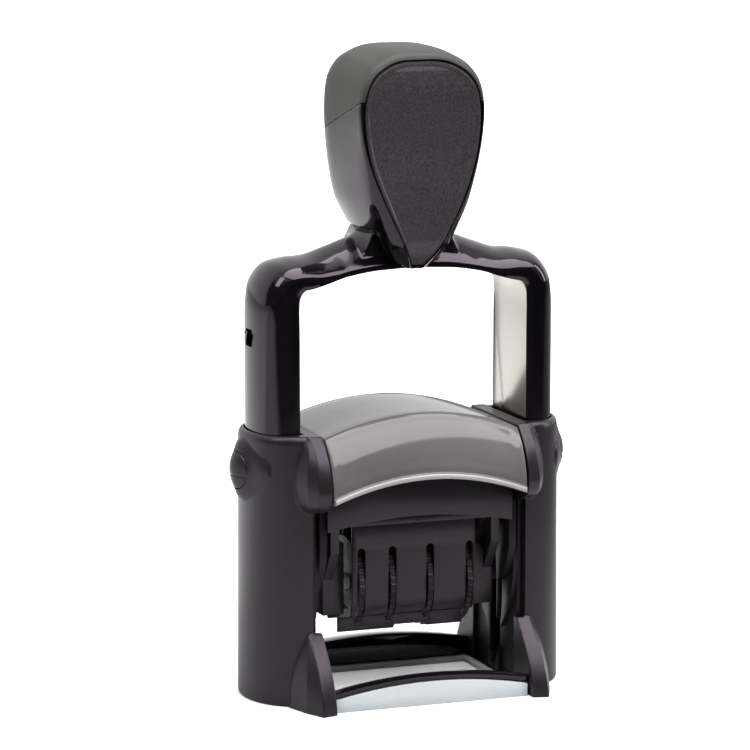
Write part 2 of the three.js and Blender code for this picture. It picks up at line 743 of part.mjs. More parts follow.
function knobPieces() {
  const whole = less(knobWhole(), labelBody(seatGap / 2));
  const reach = 2 * knobHalfWidth;
  const arch = box(-reach, reach, -bowHalfDepth - slideGap, reach, knobTipZ - reach, knobSeatZ);
  return {
    cap: whole.intersect(abovePart(seatGap / 2)),
    body: less(whole, abovePart(-seatGap / 2), arch),
  };
}

const axleHeadRadius = 1.5 * axleRadius;
const axleHeadX = endWallX - 0.5 * endWallThickness;

function axle(side) {
  const headRadius = axleHeadRadius;
  const headX = axleHeadX;
  const profile = [[0, headX], [headRadius, headX], [headRadius, endWallX - seatGap],
    [axleRadius, endWallX - seatGap], [axleRadius, springX - springBoreRadius - seatGap],
    [0, springX - springBoreRadius - seatGap]];
  const pin = turnedX(profile, 0, axleZ);
  return side > 0 ? pin : mirrored(pin, 0);
}

function returnSpring(side) {
  const lowZ = columnFloor + springWire / 2 + seatGap;
  const highZ = springTopZ - springWire / 2 - seatGap;
  const stepsPerCurl = 8;
  const steps = springCurls * stepsPerCurl;
  const points = [];
  for (let index = 0; index <= steps; index += 1) {
    const turn = (index / stepsPerCurl) * 2 * Math.PI;
    points.push(new THREE.Vector3(side * springX + (springRadius - springWire / 2) * Math.cos(turn),
      (springRadius - springWire / 2) * Math.sin(turn), lowZ + (index / steps) * (highZ - lowZ)));
  }
  const wireSides = 5;
  const wire = new THREE.Shape();
  for (let index = 0; index < wireSides; index += 1) {
    const turn = (index / wireSides) * 2 * Math.PI;
    const [a, b] = [Math.cos(turn) * springWire / 2, Math.sin(turn) * springWire / 2];
    if (index === 0) wire.moveTo(a, b);
    else wire.lineTo(a, b);
  }
  printLeastGap(points, stepsPerCurl);
  return new THREE.ExtrudeGeometry(wire, {
    steps, extrudePath: new THREE.CatmullRomCurve3(points), bevelEnabled: false,
  });
}

// Least gap between a turn of the spring and the next
function printLeastGap(points, perCurl) {
  let least = Infinity;
  points.forEach((point, index) => {
    for (let other = index + perCurl / 2; other < points.length; other += 1) {
      least = Math.min(least, point.distanceTo(points[other]) - springWire);
    }
  });
  console.log(`return spring, least gap between its turns: ${least.toFixed(2)} mm`);
}

// Housing pieces
function indexCover() {
  const rise = coverTopZ - coverLipZ;
  const section = (inset) => {
    const shape = new THREE.Shape();
    const [lipY, edgeY] = [coverLipY - inset, coverEdgeY - inset * 0.6];
    const topZ = coverTopZ - inset;
    const lowZ = coverLipZ - (inset ? cut : 0);
    const [seam, deep] = inset ? [0, 0] : [seamWidth, seamDepth];
    const bead = inset ? 0 : coverLipBead * 1.33;
    const beadTopZ = coverLipZ + rise * 0.11;
    const edgeZ = topZ - rise * 0.02;
    shape.moveTo(-lipY, lowZ);
    shape.lineTo(lipY, lowZ);
    shape.bezierCurveTo(lipY + bead, lowZ, lipY + bead, beadTopZ, lipY, beadTopZ);
    shape.bezierCurveTo(lipY - inset * 0.1, coverLipZ + rise * 0.5, edgeY + rise * 0.16,
      topZ - rise * 0.12, edgeY, edgeZ);
    if (seam) {
      shape.lineTo(edgeY, edgeZ - deep);
      shape.lineTo(edgeY - seam, edgeZ - deep);
    }
    shape.lineTo(edgeY - seam, edgeZ);
    shape.quadraticCurveTo(0, topZ + rise * 0.02, -edgeY + seam, edgeZ);
    if (seam) {
      shape.lineTo(-edgeY + seam, edgeZ - deep);
      shape.lineTo(-edgeY, edgeZ - deep);
      shape.lineTo(-edgeY, edgeZ);
    }
    shape.bezierCurveTo(-edgeY - rise * 0.16, topZ - rise * 0.12, -lipY + inset * 0.1,
      coverLipZ + rise * 0.5, -lipY, beadTopZ);
    if (bead) shape.bezierCurveTo(-lipY - bead, beadTopZ, -lipY - bead, lowZ, -lipY, lowZ);
    return shape;
  };
  const outer = prismX(section(0), -coverHalfWidth, coverHalfWidth, 14, lowerAlong(coverDrop), 5);
  const reach = coverHalfWidth + cut;
  const inner = prismX(section(coverWall), -reach, reach, 14, lowerAlong(coverDrop), 5);
  return outer.subtract(inner);
}

const cardThickness = 0.3;
const cardHalfDepth = coverEdgeY - coverWall;

function indexCard() {
  const topZ = coverTopZ - coverWall - seatGap - cardThickness;
  return prismX([[-cardHalfDepth, topZ - cardThickness], [cardHalfDepth, topZ - cardThickness],
    [cardHalfDepth, topZ], [-cardHalfDepth, topZ]],
  -coverHalfWidth + seatGap, coverHalfWidth - seatGap, 12, lowerAlong(coverDrop));
}

const trayTopZ = padHeight + padThickness + trayRoof + seatGap;
const trayHalfLength = plateLength / 2 + padMargin + trayWall;
const lipX = trayHalfLength + trayLip;
const bridgeBottomZ = trayTopZ + seatGap;
const railThickness = 0.7;

// Bridge that ties the columns together above the pad, with the runners of the pad tray
function padBridge() {
  const halfWidth = coverHalfWidth - seatGap;
  const halfDepth = cardHalfDepth - coverWall;
  const topZ = coverTopZ - bridgeTopGap - cardThickness;
  const block = prismX([[-halfDepth, bridgeBottomZ], [halfDepth, bridgeBottomZ], [halfDepth, topZ],
    [-halfDepth, topZ]], -halfWidth, halfWidth, 12,
    (point) => {
      if (point.z > bridgeBottomZ + seatGap) point.z -= archDrop(point.x, coverDrop);
    });
  const railX = lipX + seatGap;
  const lipLowZ = trayTopZ - trayRoof;
  const rails = [1, -1].map((side) => {
    const section = [[railX, bridgeBottomZ + seatGap], [railX, lipLowZ - seatGap],
      [railX - trayLip * 0.7, lipLowZ - seatGap], [railX - trayLip * 0.7, lipLowZ - seatGap - railThickness],
      [railX + railThickness, lipLowZ - seatGap - railThickness], [railX + railThickness, bridgeBottomZ + seatGap]]
      .map(([x, z]) => [side * x, z]);
    const loop = side > 0 ? [...section].reverse() : section;
    return prismY(loop, -halfDepth, halfDepth);
  });
  return joined(block, ...rails);
}

// Pad tray with its arched front skirt, drawn out forwards
function padTray() {
  const depth = plateDepth / 2 + padMargin;
  const roofZ = trayTopZ - trayRoof;
  const skirtInnerY = -skirtY + skirtThickness;
  const roof = box(-lipX, lipX, skirtInnerY - seatGap, depth + trayWall, roofZ, trayTopZ);
  const rim = less(
    box(-trayHalfLength, trayHalfLength, -depth - trayWall, depth + trayWall, roofZ - padThickness / 2, roofZ + seatGap),
    box(-trayHalfLength + trayWall, trayHalfLength - trayWall, -depth, depth, roofZ - padThickness, roofZ));
  const skirt = prismX([[-skirtY, skirtBottomZ], [skirtInnerY, skirtBottomZ],
    [skirtInnerY, coverLipZ - 2 * slideGap], [-skirtY, coverLipZ - 2 * slideGap]],
  -skirtHalfWidth, skirtHalfWidth, 18, (point) => {
    const low = point.z < padHeight;
    point.z -= archDrop(point.x, low ? skirtDrop : coverDrop);
  });
  return joined(roof, rim, skirt);
}

function inkPad() {
  const halfLength = plateLength / 2 + padMargin - seatGap / 2;
  const halfDepth = plateDepth / 2 + padMargin - seatGap;
  const topZ = trayTopZ - trayRoof - seatGap;
  return box(-halfLength, halfLength, -halfDepth, halfDepth, padHeight, topZ);
}

// Base bar between two feet, with an arched top and a brow over the window's front edge. innerY is
// how far in it reaches, and rise how much higher its inner edge is.
function baseBar(innerY, rise) {
  const browZ = lensTopZ + seatGap;
  const setBack = barOuterY - lensThickness - seatGap;
  const lowZ = windowThickness + seatGap;
  const bevel = barDrop * 0.15;
  const section = [[-barOuterY, browZ], [-setBack, browZ], [-setBack, lowZ], [-innerY, lowZ],
    [-innerY, barTopZ + rise - bevel], [-innerY - bevel, barTopZ + rise], [-barOuterY + bevel, barTopZ],
    [-barOuterY, barTopZ - bevel]];
  return prismX(section, -barHalfWidth, barHalfWidth, 14, (point) => {
    if (point.z > lowZ + seatGap) point.z -= archDrop(point.x, barDrop);
  });
}

// Clear positioning window: floor frame round the opening and the two raised edges
function positioningWindow() {
  const openX = plateLength / 2 + openingMargin;
  const openY = plateDepth / 2 + 2.7 * openingMargin;
  const frameX = barHalfWidth - seatGap;
  const floor = less(box(-frameX, frameX, -barOuterY, barOuterY, 0, windowThickness),
    box(-openX, openX, -openY, openY, -cut, windowThickness + cut));
  const edge = (sign) => prismX([[-barOuterY, 0], [-barOuterY + lensThickness, 0],
    [-barOuterY + lensThickness, lensTopZ], [-barOuterY, lensTopZ]],
  -frameX, frameX, 14, (point) => {
    if (point.z > windowThickness) point.z -= archDrop(point.x, lensDrop);
    point.y *= sign;
  });
  const front = edge(1);
  return joined(floor, front, mirrored(front, 1));
}

// Cam plate inside a column: the axle slot, the guide pin's groove, the D-shaped panel and the
// tongue that splits round the slot
const camOuterX = columnInnerX - seatGap;
const camWall = 0.9;
const panelX = barHalfWidth + seatGap;
const tongueMargin = 1;
const tongueX = plateLength / 2 + tongueMargin;
const tongueTipZ = 22.5;
const tongueInset = 1;
const tongueHalf = columnHalfDepth - tongueInset;
const panelArcRadius = 22;
const panelArcZ = 28.5;
const panelInset = 1.9;
const panelHalf = columnHalfDepth - panelInset;
const camTopZ = wingBottomZ - 2 * seatGap;

// Path of the guide pin as the stroke runs from 0 to 1: it turns half a turn about the falling axle,
// by way of the front
function guidePath(stroke, offset) {
  const turn = Math.PI * stroke;
  return [-offset * Math.sin(turn), axleZ - handleTravel * stroke + offset * Math.cos(turn)];
}

// Groove as a band of constant width round that path, closed by a half circle at each end
function grooveOutline(halfWidth) {
  const steps = 24;
  const edge = (sign) => {
    const points = [];
    for (let index = 0; index <= steps; index += 1) {
      const stroke = index / steps;
      const step = 0.5 / steps;
      const [y0, z0] = guidePath(Math.max(0, stroke - step), guideOffset);
      const [y1, z1] = guidePath(Math.min(1, stroke + step), guideOffset);
      const length = Math.hypot(y1 - y0, z1 - z0);
      const [y, z] = guidePath(stroke, guideOffset);
      points.push([y + sign * halfWidth * (z1 - z0) / length, z - sign * halfWidth * (y1 - y0) / length]);
    }
    return points;
  };
  return [...edge(1), ...edge(-1).reverse()];
}

function camPlate() {
  const grooveHalf = guideRadius + turnGap;
  const slotHalf = axleRadius + turnGap;
  const floorZ = seatGap;
  const wallHalf = columnHalfDepth - rootDepth - seatGap;
  const wall = box(camOuterX - camWall, camOuterX, -wallHalf, wallHalf, floorZ, columnHeight - 2 * columnRim);
  const panelShape = new THREE.Shape();
  const panelSteps = 16;
  const panelTopZ = camTopZ;
  const edgeY = (z) => panelHalf - panelArcRadius
    + Math.sqrt(Math.max(0, panelArcRadius ** 2 - (z - panelArcZ) ** 2));
  for (let index = 0; index <= panelSteps; index += 1) {
    const z = floorZ + (panelTopZ - floorZ) * (index / panelSteps);
    const y = Math.max(edgeY(z), panelHalf * 0.25);
    if (index === 0) panelShape.moveTo(-y, z);
    else panelShape.lineTo(-y, z);
  }
  for (let index = panelSteps; index >= 0; index -= 1) {
    const z = floorZ + (panelTopZ - floorZ) * (index / panelSteps);
    panelShape.lineTo(Math.max(edgeY(z), panelHalf * 0.25), z);
  }
  const panel = prismX(panelShape, panelX, camOuterX - camWall + seatGap);
  const tongueShape = new THREE.Shape();
  const rise = camTopZ - tongueTipZ;
  tongueShape.moveTo(-tongueHalf, camTopZ);
  tongueShape.lineTo(-tongueHalf, tongueTipZ + rise * 0.56);
  tongueShape.bezierCurveTo(-tongueHalf, tongueTipZ + rise * 0.36, -tongueHalf * 0.7,
    tongueTipZ + rise * 0.05, -tongueHalf * 0.34, tongueTipZ);
  tongueShape.lineTo(0, tongueTipZ + rise * 0.03);
  tongueShape.lineTo(tongueHalf * 0.34, tongueTipZ);
  tongueShape.bezierCurveTo(tongueHalf * 0.7, tongueTipZ + rise * 0.05, tongueHalf,
    tongueTipZ + rise * 0.36, tongueHalf, tongueTipZ + rise * 0.56);
  tongueShape.lineTo(tongueHalf, camTopZ);
  const tongue = prismX(tongueShape, tongueX, panelX + seatGap, 1, null, 10);
  const slot = prismX([[-slotHalf, axleZ - handleTravel - slotHalf], [slotHalf, axleZ - handleTravel - slotHalf],
    [slotHalf, axleZ + slotHalf], [-slotHalf, axleZ + slotHalf]], tongueX - cut, camOuterX + cut);
  const groove = prismX(grooveOutline(grooveHalf), tongueX - cut, camOuterX - camWall);
  const grooveEnds = [0, 1].map((stroke) => {
    const [y, z] = guidePath(stroke, guideOffset);
    return rodX(grooveHalf, tongueX - cut, camOuterX - camWall, y, z, 16);
  });
  return less(joined(wall, panel, tongue), slot, groove, ...grooveEnds);
}

// Carriage pieces
const plateBottomZ = rubberFaceZ - rubberThickness - seatGap / 2 - plateThickness;
const seatPlateZ = plateBottomZ - seatGap;
const seatPlateThickness = 1.3;
const bandHalf = 2;
const discShares = [-0.302, -0.124, 0.093, 0.322];
const discCentres = discShares.map((share) => share * plateLength);
// Side and length, as a share of the plate's, of the drum that each disc drives
const drumShares = [[1, 0.136], [1, 0.176], [1, 0.088], [-1, 0.088]];
const bandWindowHalf = 2 * bandHalf + seatGap;

const bandWindowEndX = endWallX - 1.5 * endWallThickness;

function bandWindow(lowZ, highZ) {
  return box(-bandWindowEndX, bandWindowEndX, -bandWindowHalf, bandWindowHalf, lowZ - cut, highZ + cut);
}

// End block of the carriage with its slanted shoulder, and the wall that hangs on the axle
function carriageFrame() {
  const halfDepth = plateDepth / 2 - 2 * seatGap;
  const armX = endWallX + endWallThickness + seatGap;
  const armTopZ = 34.3;
  const armShoulderZ = 26.2;
  const armBottomZ = 18.2;
  const armInset = 5.3;
  const armInnerX = plateLength / 2 - armInset;
  const armHalfDepth = 6;
  const seat = less(
    box(-armX + seatGap, armX - seatGap, -halfDepth, halfDepth, seatPlateZ - seatPlateThickness, seatPlateZ),
    bandWindow(seatPlateZ - seatPlateThickness, seatPlateZ));
  const sides = [1, -1].map((side) => {
    const wallHalf = halfDepth * 0.94;
    const wallLowZ = axleZ - axleRadius * 1.6;
    const wallOutline = [[-wallHalf, seatPlateZ - seatGap], [-wallHalf, wallLowZ],
      [-armHalfDepth, armShoulderZ], [armHalfDepth, armShoulderZ],
      [wallHalf, wallLowZ], [wallHalf, seatPlateZ - seatGap]];
    const wall = prismX(wallOutline, endWallX, endWallX + endWallThickness);
    const arm = prismY([[armInnerX, armBottomZ], [armX, armBottomZ], [armX, armShoulderZ],
      [armInnerX + endWallThickness * 0.2, armTopZ], [armInnerX, armTopZ]], -armHalfDepth, armHalfDepth);
    const piece = joined(wall, arm);
    return side > 0 ? piece : mirrored(piece, 0);
  });
  let frame = joined(seat, ...sides);
  [1, -1].forEach((side) => {
    const [x0, x1] = side > 0 ? [armInnerX - cut, armX + cut] : [-armX - cut, -armInnerX + cut];
    const headEnds = [side * (axleHeadX - seatGap), side * endWallX].sort((a, b) => a - b);
    frame = less(frame, rodX(axleRadius + turnGap, x0, x1, 0, axleZ),
      rodX(axleHeadRadius + seatGap, ...headEnds, 0, axleZ),
      rodX(guideRadius + turnGap, x0, x1, 0, axleZ + guideOffset, 16),
      rodX(shaftRadius + seatGap / 2, side > 0 ? armInnerX - cut : -endWallX, side > 0 ? endWallX : -armInnerX + cut,
        0, wheelCentreZ));
  });
  return frame;
}

// Front cover of the date wheels: straight above, turned under below, with a slot for each wheel
const flangeInset = 2.6;
const flangeY = coverFaceY - flangeInset;
const flangeZ = 14.5;
const bendZ = 23;
const bendEndZ = 17.6;
const coverInset = 6;
const coverHalf = plateLength / 2 - coverInset;
const slotTopZ = wheelCentreZ + 0.88 * wheelRadius;

function coverSheet() {
  const outline = (inset) => {
    const points = [[-(coverFaceY - inset), seatPlateZ - seatPlateThickness - seatGap], [-(coverFaceY - inset), bendZ]];
    const bendSteps = 5;
    for (let index = 1; index <= bendSteps; index += 1) {
      const turn = (index / bendSteps) * Math.PI / 2;
      points.push([-(flangeY - inset) - (coverFaceY - flangeY) * Math.cos(turn),
        bendZ - (bendZ - bendEndZ) * Math.sin(turn)]);
    }
    points.push([-(flangeY - inset), flangeZ]);
    return points;
  };
  return [...outline(0), ...outline(sheetWall).reverse()];
}

function slottedSheet() {
  const sheet = prismX([...coverSheet()].reverse(), -coverHalf, coverHalf);
  const lowZ = bendEndZ - 2.2 * sheetWall;
  const slotOutline = new THREE.Shape();
  slotOutline.moveTo(-slotWidth / 2, lowZ);
  slotOutline.lineTo(slotWidth / 2, lowZ);
  slotOutline.lineTo(slotWidth / 2, slotTopZ - slotWidth / 2);
  slotOutline.absarc(0, slotTopZ - slotWidth / 2, slotWidth / 2, 0, Math.PI, false);
  const slot = prismY(slotOutline, -coverFaceY - cut, 0, 5);
  const slots = discCentres.map((x) => slot.translate(x, 0, 0));
  return less(sheet, ...slots);
}

// The front cover's flange runs on to the left, and stops at the last slot on the right
function wheelCover() {
  const tabReach = 2.5;
  const tabX = -coverHalf - tabReach;
  const tab = box(tabX, -coverHalf + seatGap, -flangeY, -flangeY + sheetWall, flangeZ, bendEndZ);
  const lastSlotX = discCentres[discCentres.length - 1] - slotWidth / 2;
  const end = box(lastSlotX, coverHalf + cut, -coverFaceY, 0, flangeZ - cut, bendEndZ);
  const notchHalf = 4.4;
  const notchRise = 0.7;
  const notch = prismY([[-notchHalf, flangeZ - cut], [notchHalf, flangeZ - cut],
    [notchHalf - notchRise, flangeZ + notchRise], [-notchHalf + notchRise, flangeZ + notchRise]],
  -coverFaceY, 0);
  return less(joined(slottedSheet(), tab), notch, end);
}

// Date wheel: knurled disc and the drum that drives its band
function dateWheel(index) {
  const centreX = discCentres[index];
  const [way, lengthShare] = drumShares[index];
  const length = lengthShare * plateLength;
  const rim = [];
  for (let tooth = 0; tooth < knurlCount; tooth += 1) {
    [[0, wheelRadius - knurlDepth], [0.5, wheelRadius]].forEach(([share, radius]) => {
      const turn = ((tooth + share) / knurlCount) * 2 * Math.PI;
      rim.push([radius * Math.cos(turn), wheelCentreZ + radius * Math.sin(turn)]);
    });
  }
  const disc = prismX(rim, centreX - discThickness / 2, centreX + discThickness / 2);
  const start = centreX;
  const end = centreX + way * (discThickness / 2 + length);
  const drum = rodX(drumRadius, Math.min(start, end), Math.max(start, end), 0, wheelCentreZ, 24);
  const bore = rodX(shaftRadius + turnGap, Math.min(start, end) - cut, Math.max(start, end) + cut,
    0, wheelCentreZ);
  const faceX = centreX - way * discThickness / 2;
  const dishEnds = [faceX - way * cut, faceX + way * dishDepth].sort((a, b) => a - b);
  const dish = rodX(drumRadius - discThickness / 2, ...dishEnds, 0, wheelCentreZ);
  return less(joined(disc, drum), bore, dish);
}

// Rubber band round a drum and over the printing bridge
function dateBand(index) {
  const centreX = discCentres[index];
  const [way, lengthShare] = drumShares[index];
  const length = lengthShare * plateLength;
  const nearX = centreX + way * (discThickness / 2 + seatGap);
  const farX = centreX + way * (discThickness / 2 + length - seatGap);
  const topZ = rubberFaceZ - characterHeight;
  const loop = (radius, half, highZ) => {
    const rise = highZ - wheelCentreZ;
    const lean = Math.atan2(rise, half) - Math.acos(Math.min(1, radius / Math.hypot(rise, half)));
    const points = [[half, highZ], [-half, highZ]];
    const steps = 14;
    const first = Math.PI - lean;
    const last = 2 * Math.PI + lean;
    for (let step = 0; step <= steps; step += 1) {
      const turn = first + (last - first) * (step / steps);
      points.push([radius * Math.cos(turn), wheelCentreZ + radius * Math.sin(turn)]);
    }
    return points;
  };
  const runGap = seatGap;
  const [x0, x1] = [Math.min(nearX, farX), Math.max(nearX, farX)];
  const outer = prismX(loop(drumRadius + runGap + bandThickness, bandHalf + bandThickness, topZ), x0, x1);
  const inner = prismX(loop(drumRadius + runGap, bandHalf, topZ - bandThickness), x0 - cut, x1 + cut);
  const character = box(x0 + seatGap, x1 - seatGap, -bandHalf * 0.9, bandHalf * 0.9,
    topZ - bandThickness / 2, rubberFaceZ);
  return joined(outer.subtract(inner), character);
}

function bandBridge() {
  const topZ = rubberFaceZ - characterHeight - bandThickness - seatGap;
  const lowZ = topZ - 0.9 * bandHalf;
  const halfLength = bandWindowEndX - seatGap;
  return box(-halfLength, halfLength, -bandHalf + seatGap, bandHalf - seatGap, lowZ, topZ);
}

function diePlate() {
  const [halfX, halfY] = [plateLength / 2, plateDepth / 2];
  const topZ = plateBottomZ + plateThickness;
  const plate = less(box(-halfX, halfX, -halfY, halfY, plateBottomZ, topZ), bandWindow(plateBottomZ, topZ));
  const notchHalf = guideRadius + seatGap;
  const notches = [1, -1].map((side) => box(
    side > 0 ? endWallX - seatGap : -halfX - cut, side > 0 ? halfX + cut : -endWallX + seatGap,
    -notchHalf, notchHalf, plateBottomZ - cut, topZ + cut));
  return less(plate, ...notches);
}

function textDie() {
  const [halfX, halfY] = [plateLength / 2 - seatGap, plateDepth / 2 - seatGap / 2];
  const lowZ = rubberFaceZ - rubberThickness;
  return less(box(-halfX, halfX, -halfY, halfY, lowZ, rubberFaceZ), bandWindow(lowZ, rubberFaceZ));
}

function guidePin(side) {
  const x1 = camOuterX - camWall - seatGap;
  const pin = rodX(guideRadius, endWallX, x1, 0, axleZ + guideOffset, 16);
  return side > 0 ? pin : mirrored(pin, 0);
}

// Assembly
const stamp = new THREE.Group();

function add(name, form, material) {
  const geometry = form instanceof THREE.BufferGeometry ? form : toGeometry(form);
  const mesh = new THREE.Mesh(geometry, material);
  mesh.name = name;
  stamp.add(mesh);
}

const matteBlack = () => plastic(0x2b282c, 0.62);
const glossBlack = () => plastic(0x141214, 0.15);
const softGrey = () => plastic(0x454644, 0.85);
const wheelBlack = () => plastic(0x1c1a1c, 0.45);
const rubber = () => plastic(0x26262a, 0.9);

const rightColumn = column();
const rightCam = camPlate();
const rightButton = lockButton();
[["right", 1], ["left", -1]].forEach(([name, side]) => {
  const facing = (solid) => (side > 0 ? solid : mirrored(solid, 0));
  add(`${name}_column`, facing(rightColumn), matteBlack());
  add(`${name}_cam_plate`, facing(rightCam), glossBlack());
  add(`${name}_lock_button`, facing(rightButton), matteBlack());
  add(`${name}_return_spring`, returnSpring(side), metal(0xb8b8b8));
  add(`${name}_axle`, axle(side), metal(0xc8c8c8));
  add(`${name}_guide_pin`, guidePin(side), metal(0xc8c8c8));
});

add("front_base_bar", baseBar(barOuterY - frontBarDepth, 0), glossBlack());
add("back_base_bar", mirrored(baseBar(barInnerY, backBarRise), 1), glossBlack());
add("positioning_window", positioningWindow(), plastic(0xe4ecf4, 0.08));
add("pad_bridge", padBridge(), matteBlack());
add("index_cover", indexCover(), plastic(0x6a6766, 0.2));
add("index_card", indexCard(), plastic(0xd8d6d4, 0.7));
add("pad_tray", padTray(), matteBlack());
add("ink_pad", inkPad(), plastic(0x241c4a, 0.95));

const knob = knobPieces();
add("handle_bow", handleBow(), glossBlack());
add("steel_bow", steelBow(), metal(0xd2cfc0, 0.28));
add("knob_body", knob.body, glossBlack());
add("knob_cap", knob.cap, softGrey());
add("badge_plate", labelBody(0), plastic(0x3d3b3b, 0.5));

add("carriage_frame", carriageFrame(), matteBlack());
add("wheel_cover", wheelCover(), matteBlack());
add("carriage_back", mirrored(slottedSheet(), 1), matteBlack());
add("band_bridge", bandBridge(), wheelBlack());
add("wheel_shaft", rodX(shaftRadius, -endWallX + seatGap, endWallX - seatGap, 0, wheelCentreZ),
  plastic(0xd6d6d8, 0.4));
add("die_plate", diePlate(), wheelBlack());
add("text_die", textDie(), rubber());
discCentres.forEach((_, index) => {
  add(`date_wheel_${index + 1}`, dateWheel(index), wheelBlack());
  add(`date_band_${index + 1}`, dateBand(index), rubber());
});

export default stamp;
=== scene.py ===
"""A self-inking date stamp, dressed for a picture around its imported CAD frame. Metres, +Z up."""
import json
import math

import bmesh
import bpy
from mathutils import Matrix, Vector


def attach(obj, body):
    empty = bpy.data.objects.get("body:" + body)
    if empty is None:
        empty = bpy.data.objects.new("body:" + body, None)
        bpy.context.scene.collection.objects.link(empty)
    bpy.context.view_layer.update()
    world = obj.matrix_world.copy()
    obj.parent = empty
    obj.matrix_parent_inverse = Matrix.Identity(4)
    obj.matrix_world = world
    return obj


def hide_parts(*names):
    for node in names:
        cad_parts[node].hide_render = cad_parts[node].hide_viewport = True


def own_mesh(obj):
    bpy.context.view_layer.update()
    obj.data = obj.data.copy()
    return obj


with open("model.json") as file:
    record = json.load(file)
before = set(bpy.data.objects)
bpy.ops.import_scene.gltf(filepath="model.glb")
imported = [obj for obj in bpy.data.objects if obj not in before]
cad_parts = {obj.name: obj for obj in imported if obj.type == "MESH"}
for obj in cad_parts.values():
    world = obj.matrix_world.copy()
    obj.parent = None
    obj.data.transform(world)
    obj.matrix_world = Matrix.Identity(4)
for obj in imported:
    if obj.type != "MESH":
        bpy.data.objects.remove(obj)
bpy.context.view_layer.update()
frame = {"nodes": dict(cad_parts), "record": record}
MM = 0.001


# Camera, stage and light

def set_camera():
    """The photograph's view: a long lens, a little to the left and just above the stamp."""
    data = bpy.data.cameras.new("camera")
    data.sensor_width = 36.0
    data.lens = 177.3
    data.clip_end = 20.0
    camera = bpy.data.objects.new("camera", data)
    camera.location = (-0.28673, -0.75523, 0.20038)
    ahead = Vector((0.3444, 0.9252, -0.1594))
    camera.rotation_euler = ahead.to_track_quat("-Z", "Y").to_euler()
    bpy.context.scene.collection.objects.link(camera)
    bpy.context.scene.camera = camera


AIM = Vector((0, 0, 0.06))
FLOOR_REACH = 6.0
FLOOR_WHITE = (0.85, 0.85, 0.85, 1)
# Where the room grows brighter: axis, from and to (as a share of the direction), and the two strengths
ROOM = (("Y", 0.27, 0.40, 0.05, 1.0), ("X", 0.42, 0.75, 0.0, 0.30), ("Z", 0.50, 0.80, 0.0, 0.80))
# How the floor grows whiter for the camera with its distance from the stamp, in metres
FLOOR_GLOW = {"From_Min": 0.10, "From_Max": 0.60, "To_Min": 0.20, "To_Max": 1.0}
# What share of the light the floor throws back: axis, from and to in metres, and the two shares
FLOOR_GRADES = (("Y", -0.38, -0.16, 0.06, 1.0), ("Y", 0.07, 0.14, 0.55, 0.85), ("X", 0.08, 0.26, 1.0, 0.25))
# Name, place and size in metres, and watts
LAMPS = (
    ("ceiling", (0.15, -0.22, 0.95), (1.00, 1.21), 16.5),
    ("left", (-0.62, -0.12, 0.70), (0.30, 0.40), 2.1),
    ("right", (0.80, -0.10, 0.40), (0.20, 0.60), 2.2),
)


def smooth_range(nodes, links, value, **ends):
    """The value taken smoothly from one range to another. ends name the node's inputs, such as From_Min."""
    grade = nodes.new("ShaderNodeMapRange")
    grade.interpolation_type = "SMOOTHSTEP"
    for key, end in ends.items():
        grade.inputs[key.replace("_", " ")].default_value = end
    links.new(value, grade.inputs["Value"])
    return grade.outputs["Result"]


def graded(nodes, links, point, grades, operation):
    """One value out of grades along the axes, joined by the operation."""
    split = nodes.new("ShaderNodeSeparateXYZ")
    links.new(point, split.inputs[0])
    total = None
    for axis, low, high, near, far in grades:
        result = smooth_range(nodes, links, split.outputs[axis], From_Min=low, From_Max=high, To_Min=near,
                              To_Max=far)
        if total is None:
            total = result
        else:
            both = nodes.new("ShaderNodeMath")
            both.operation = operation
            links.new(total, both.inputs[0])
            links.new(result, both.inputs[1])
            total = both.outputs[0]
    return total


def set_light():
    """Soft boxes, and a room with a white backdrop, a soft ceiling and a dark front for the reflections."""
    for name, place, size, power in LAMPS:
        data = bpy.data.lights.new(name, "AREA")
        data.shape = "RECTANGLE"
        data.size, data.size_y = size
        data.energy = power
        lamp = bpy.data.objects.new(name, data)
        lamp.location = place
        aim = AIM - Vector(place)
        lamp.rotation_euler = aim.to_track_quat("-Z", "Y").to_euler()
        bpy.context.scene.collection.objects.link(lamp)

    world = bpy.data.worlds.new("room")
    world.use_nodes = True
    bpy.context.scene.world = world
    nodes, links = world.node_tree.nodes, world.node_tree.links
    nodes.clear()
    out = nodes.new("ShaderNodeOutputWorld")
    lit = nodes.new("ShaderNodeBackground")
    lit.inputs["Color"].default_value = (1, 1, 1, 1)
    where = nodes.new("ShaderNodeTexCoord")
    links.new(graded(nodes, links, where.outputs["Generated"], ROOM, "MAXIMUM"), lit.inputs["Strength"])
    seen = nodes.new("ShaderNodeBackground")
    seen.inputs["Color"].default_value = (1, 1, 1, 1)
    seen.inputs["Strength"].default_value = 1.0
    path = nodes.new("ShaderNodeLightPath")
    either = nodes.new("ShaderNodeMath")
    either.operation = "MAXIMUM"
    choice = nodes.new("ShaderNodeMixShader")
    links.new(path.outputs["Is Camera Ray"], either.inputs[0])
    links.new(path.outputs["Is Transmission Ray"], either.inputs[1])
    links.new(either.outputs[0], choice.inputs["Fac"])
    links.new(lit.outputs[0], choice.inputs[1])
    links.new(seen.outputs[0], choice.inputs[2])
    links.new(choice.outputs[0], out.inputs["Surface"])


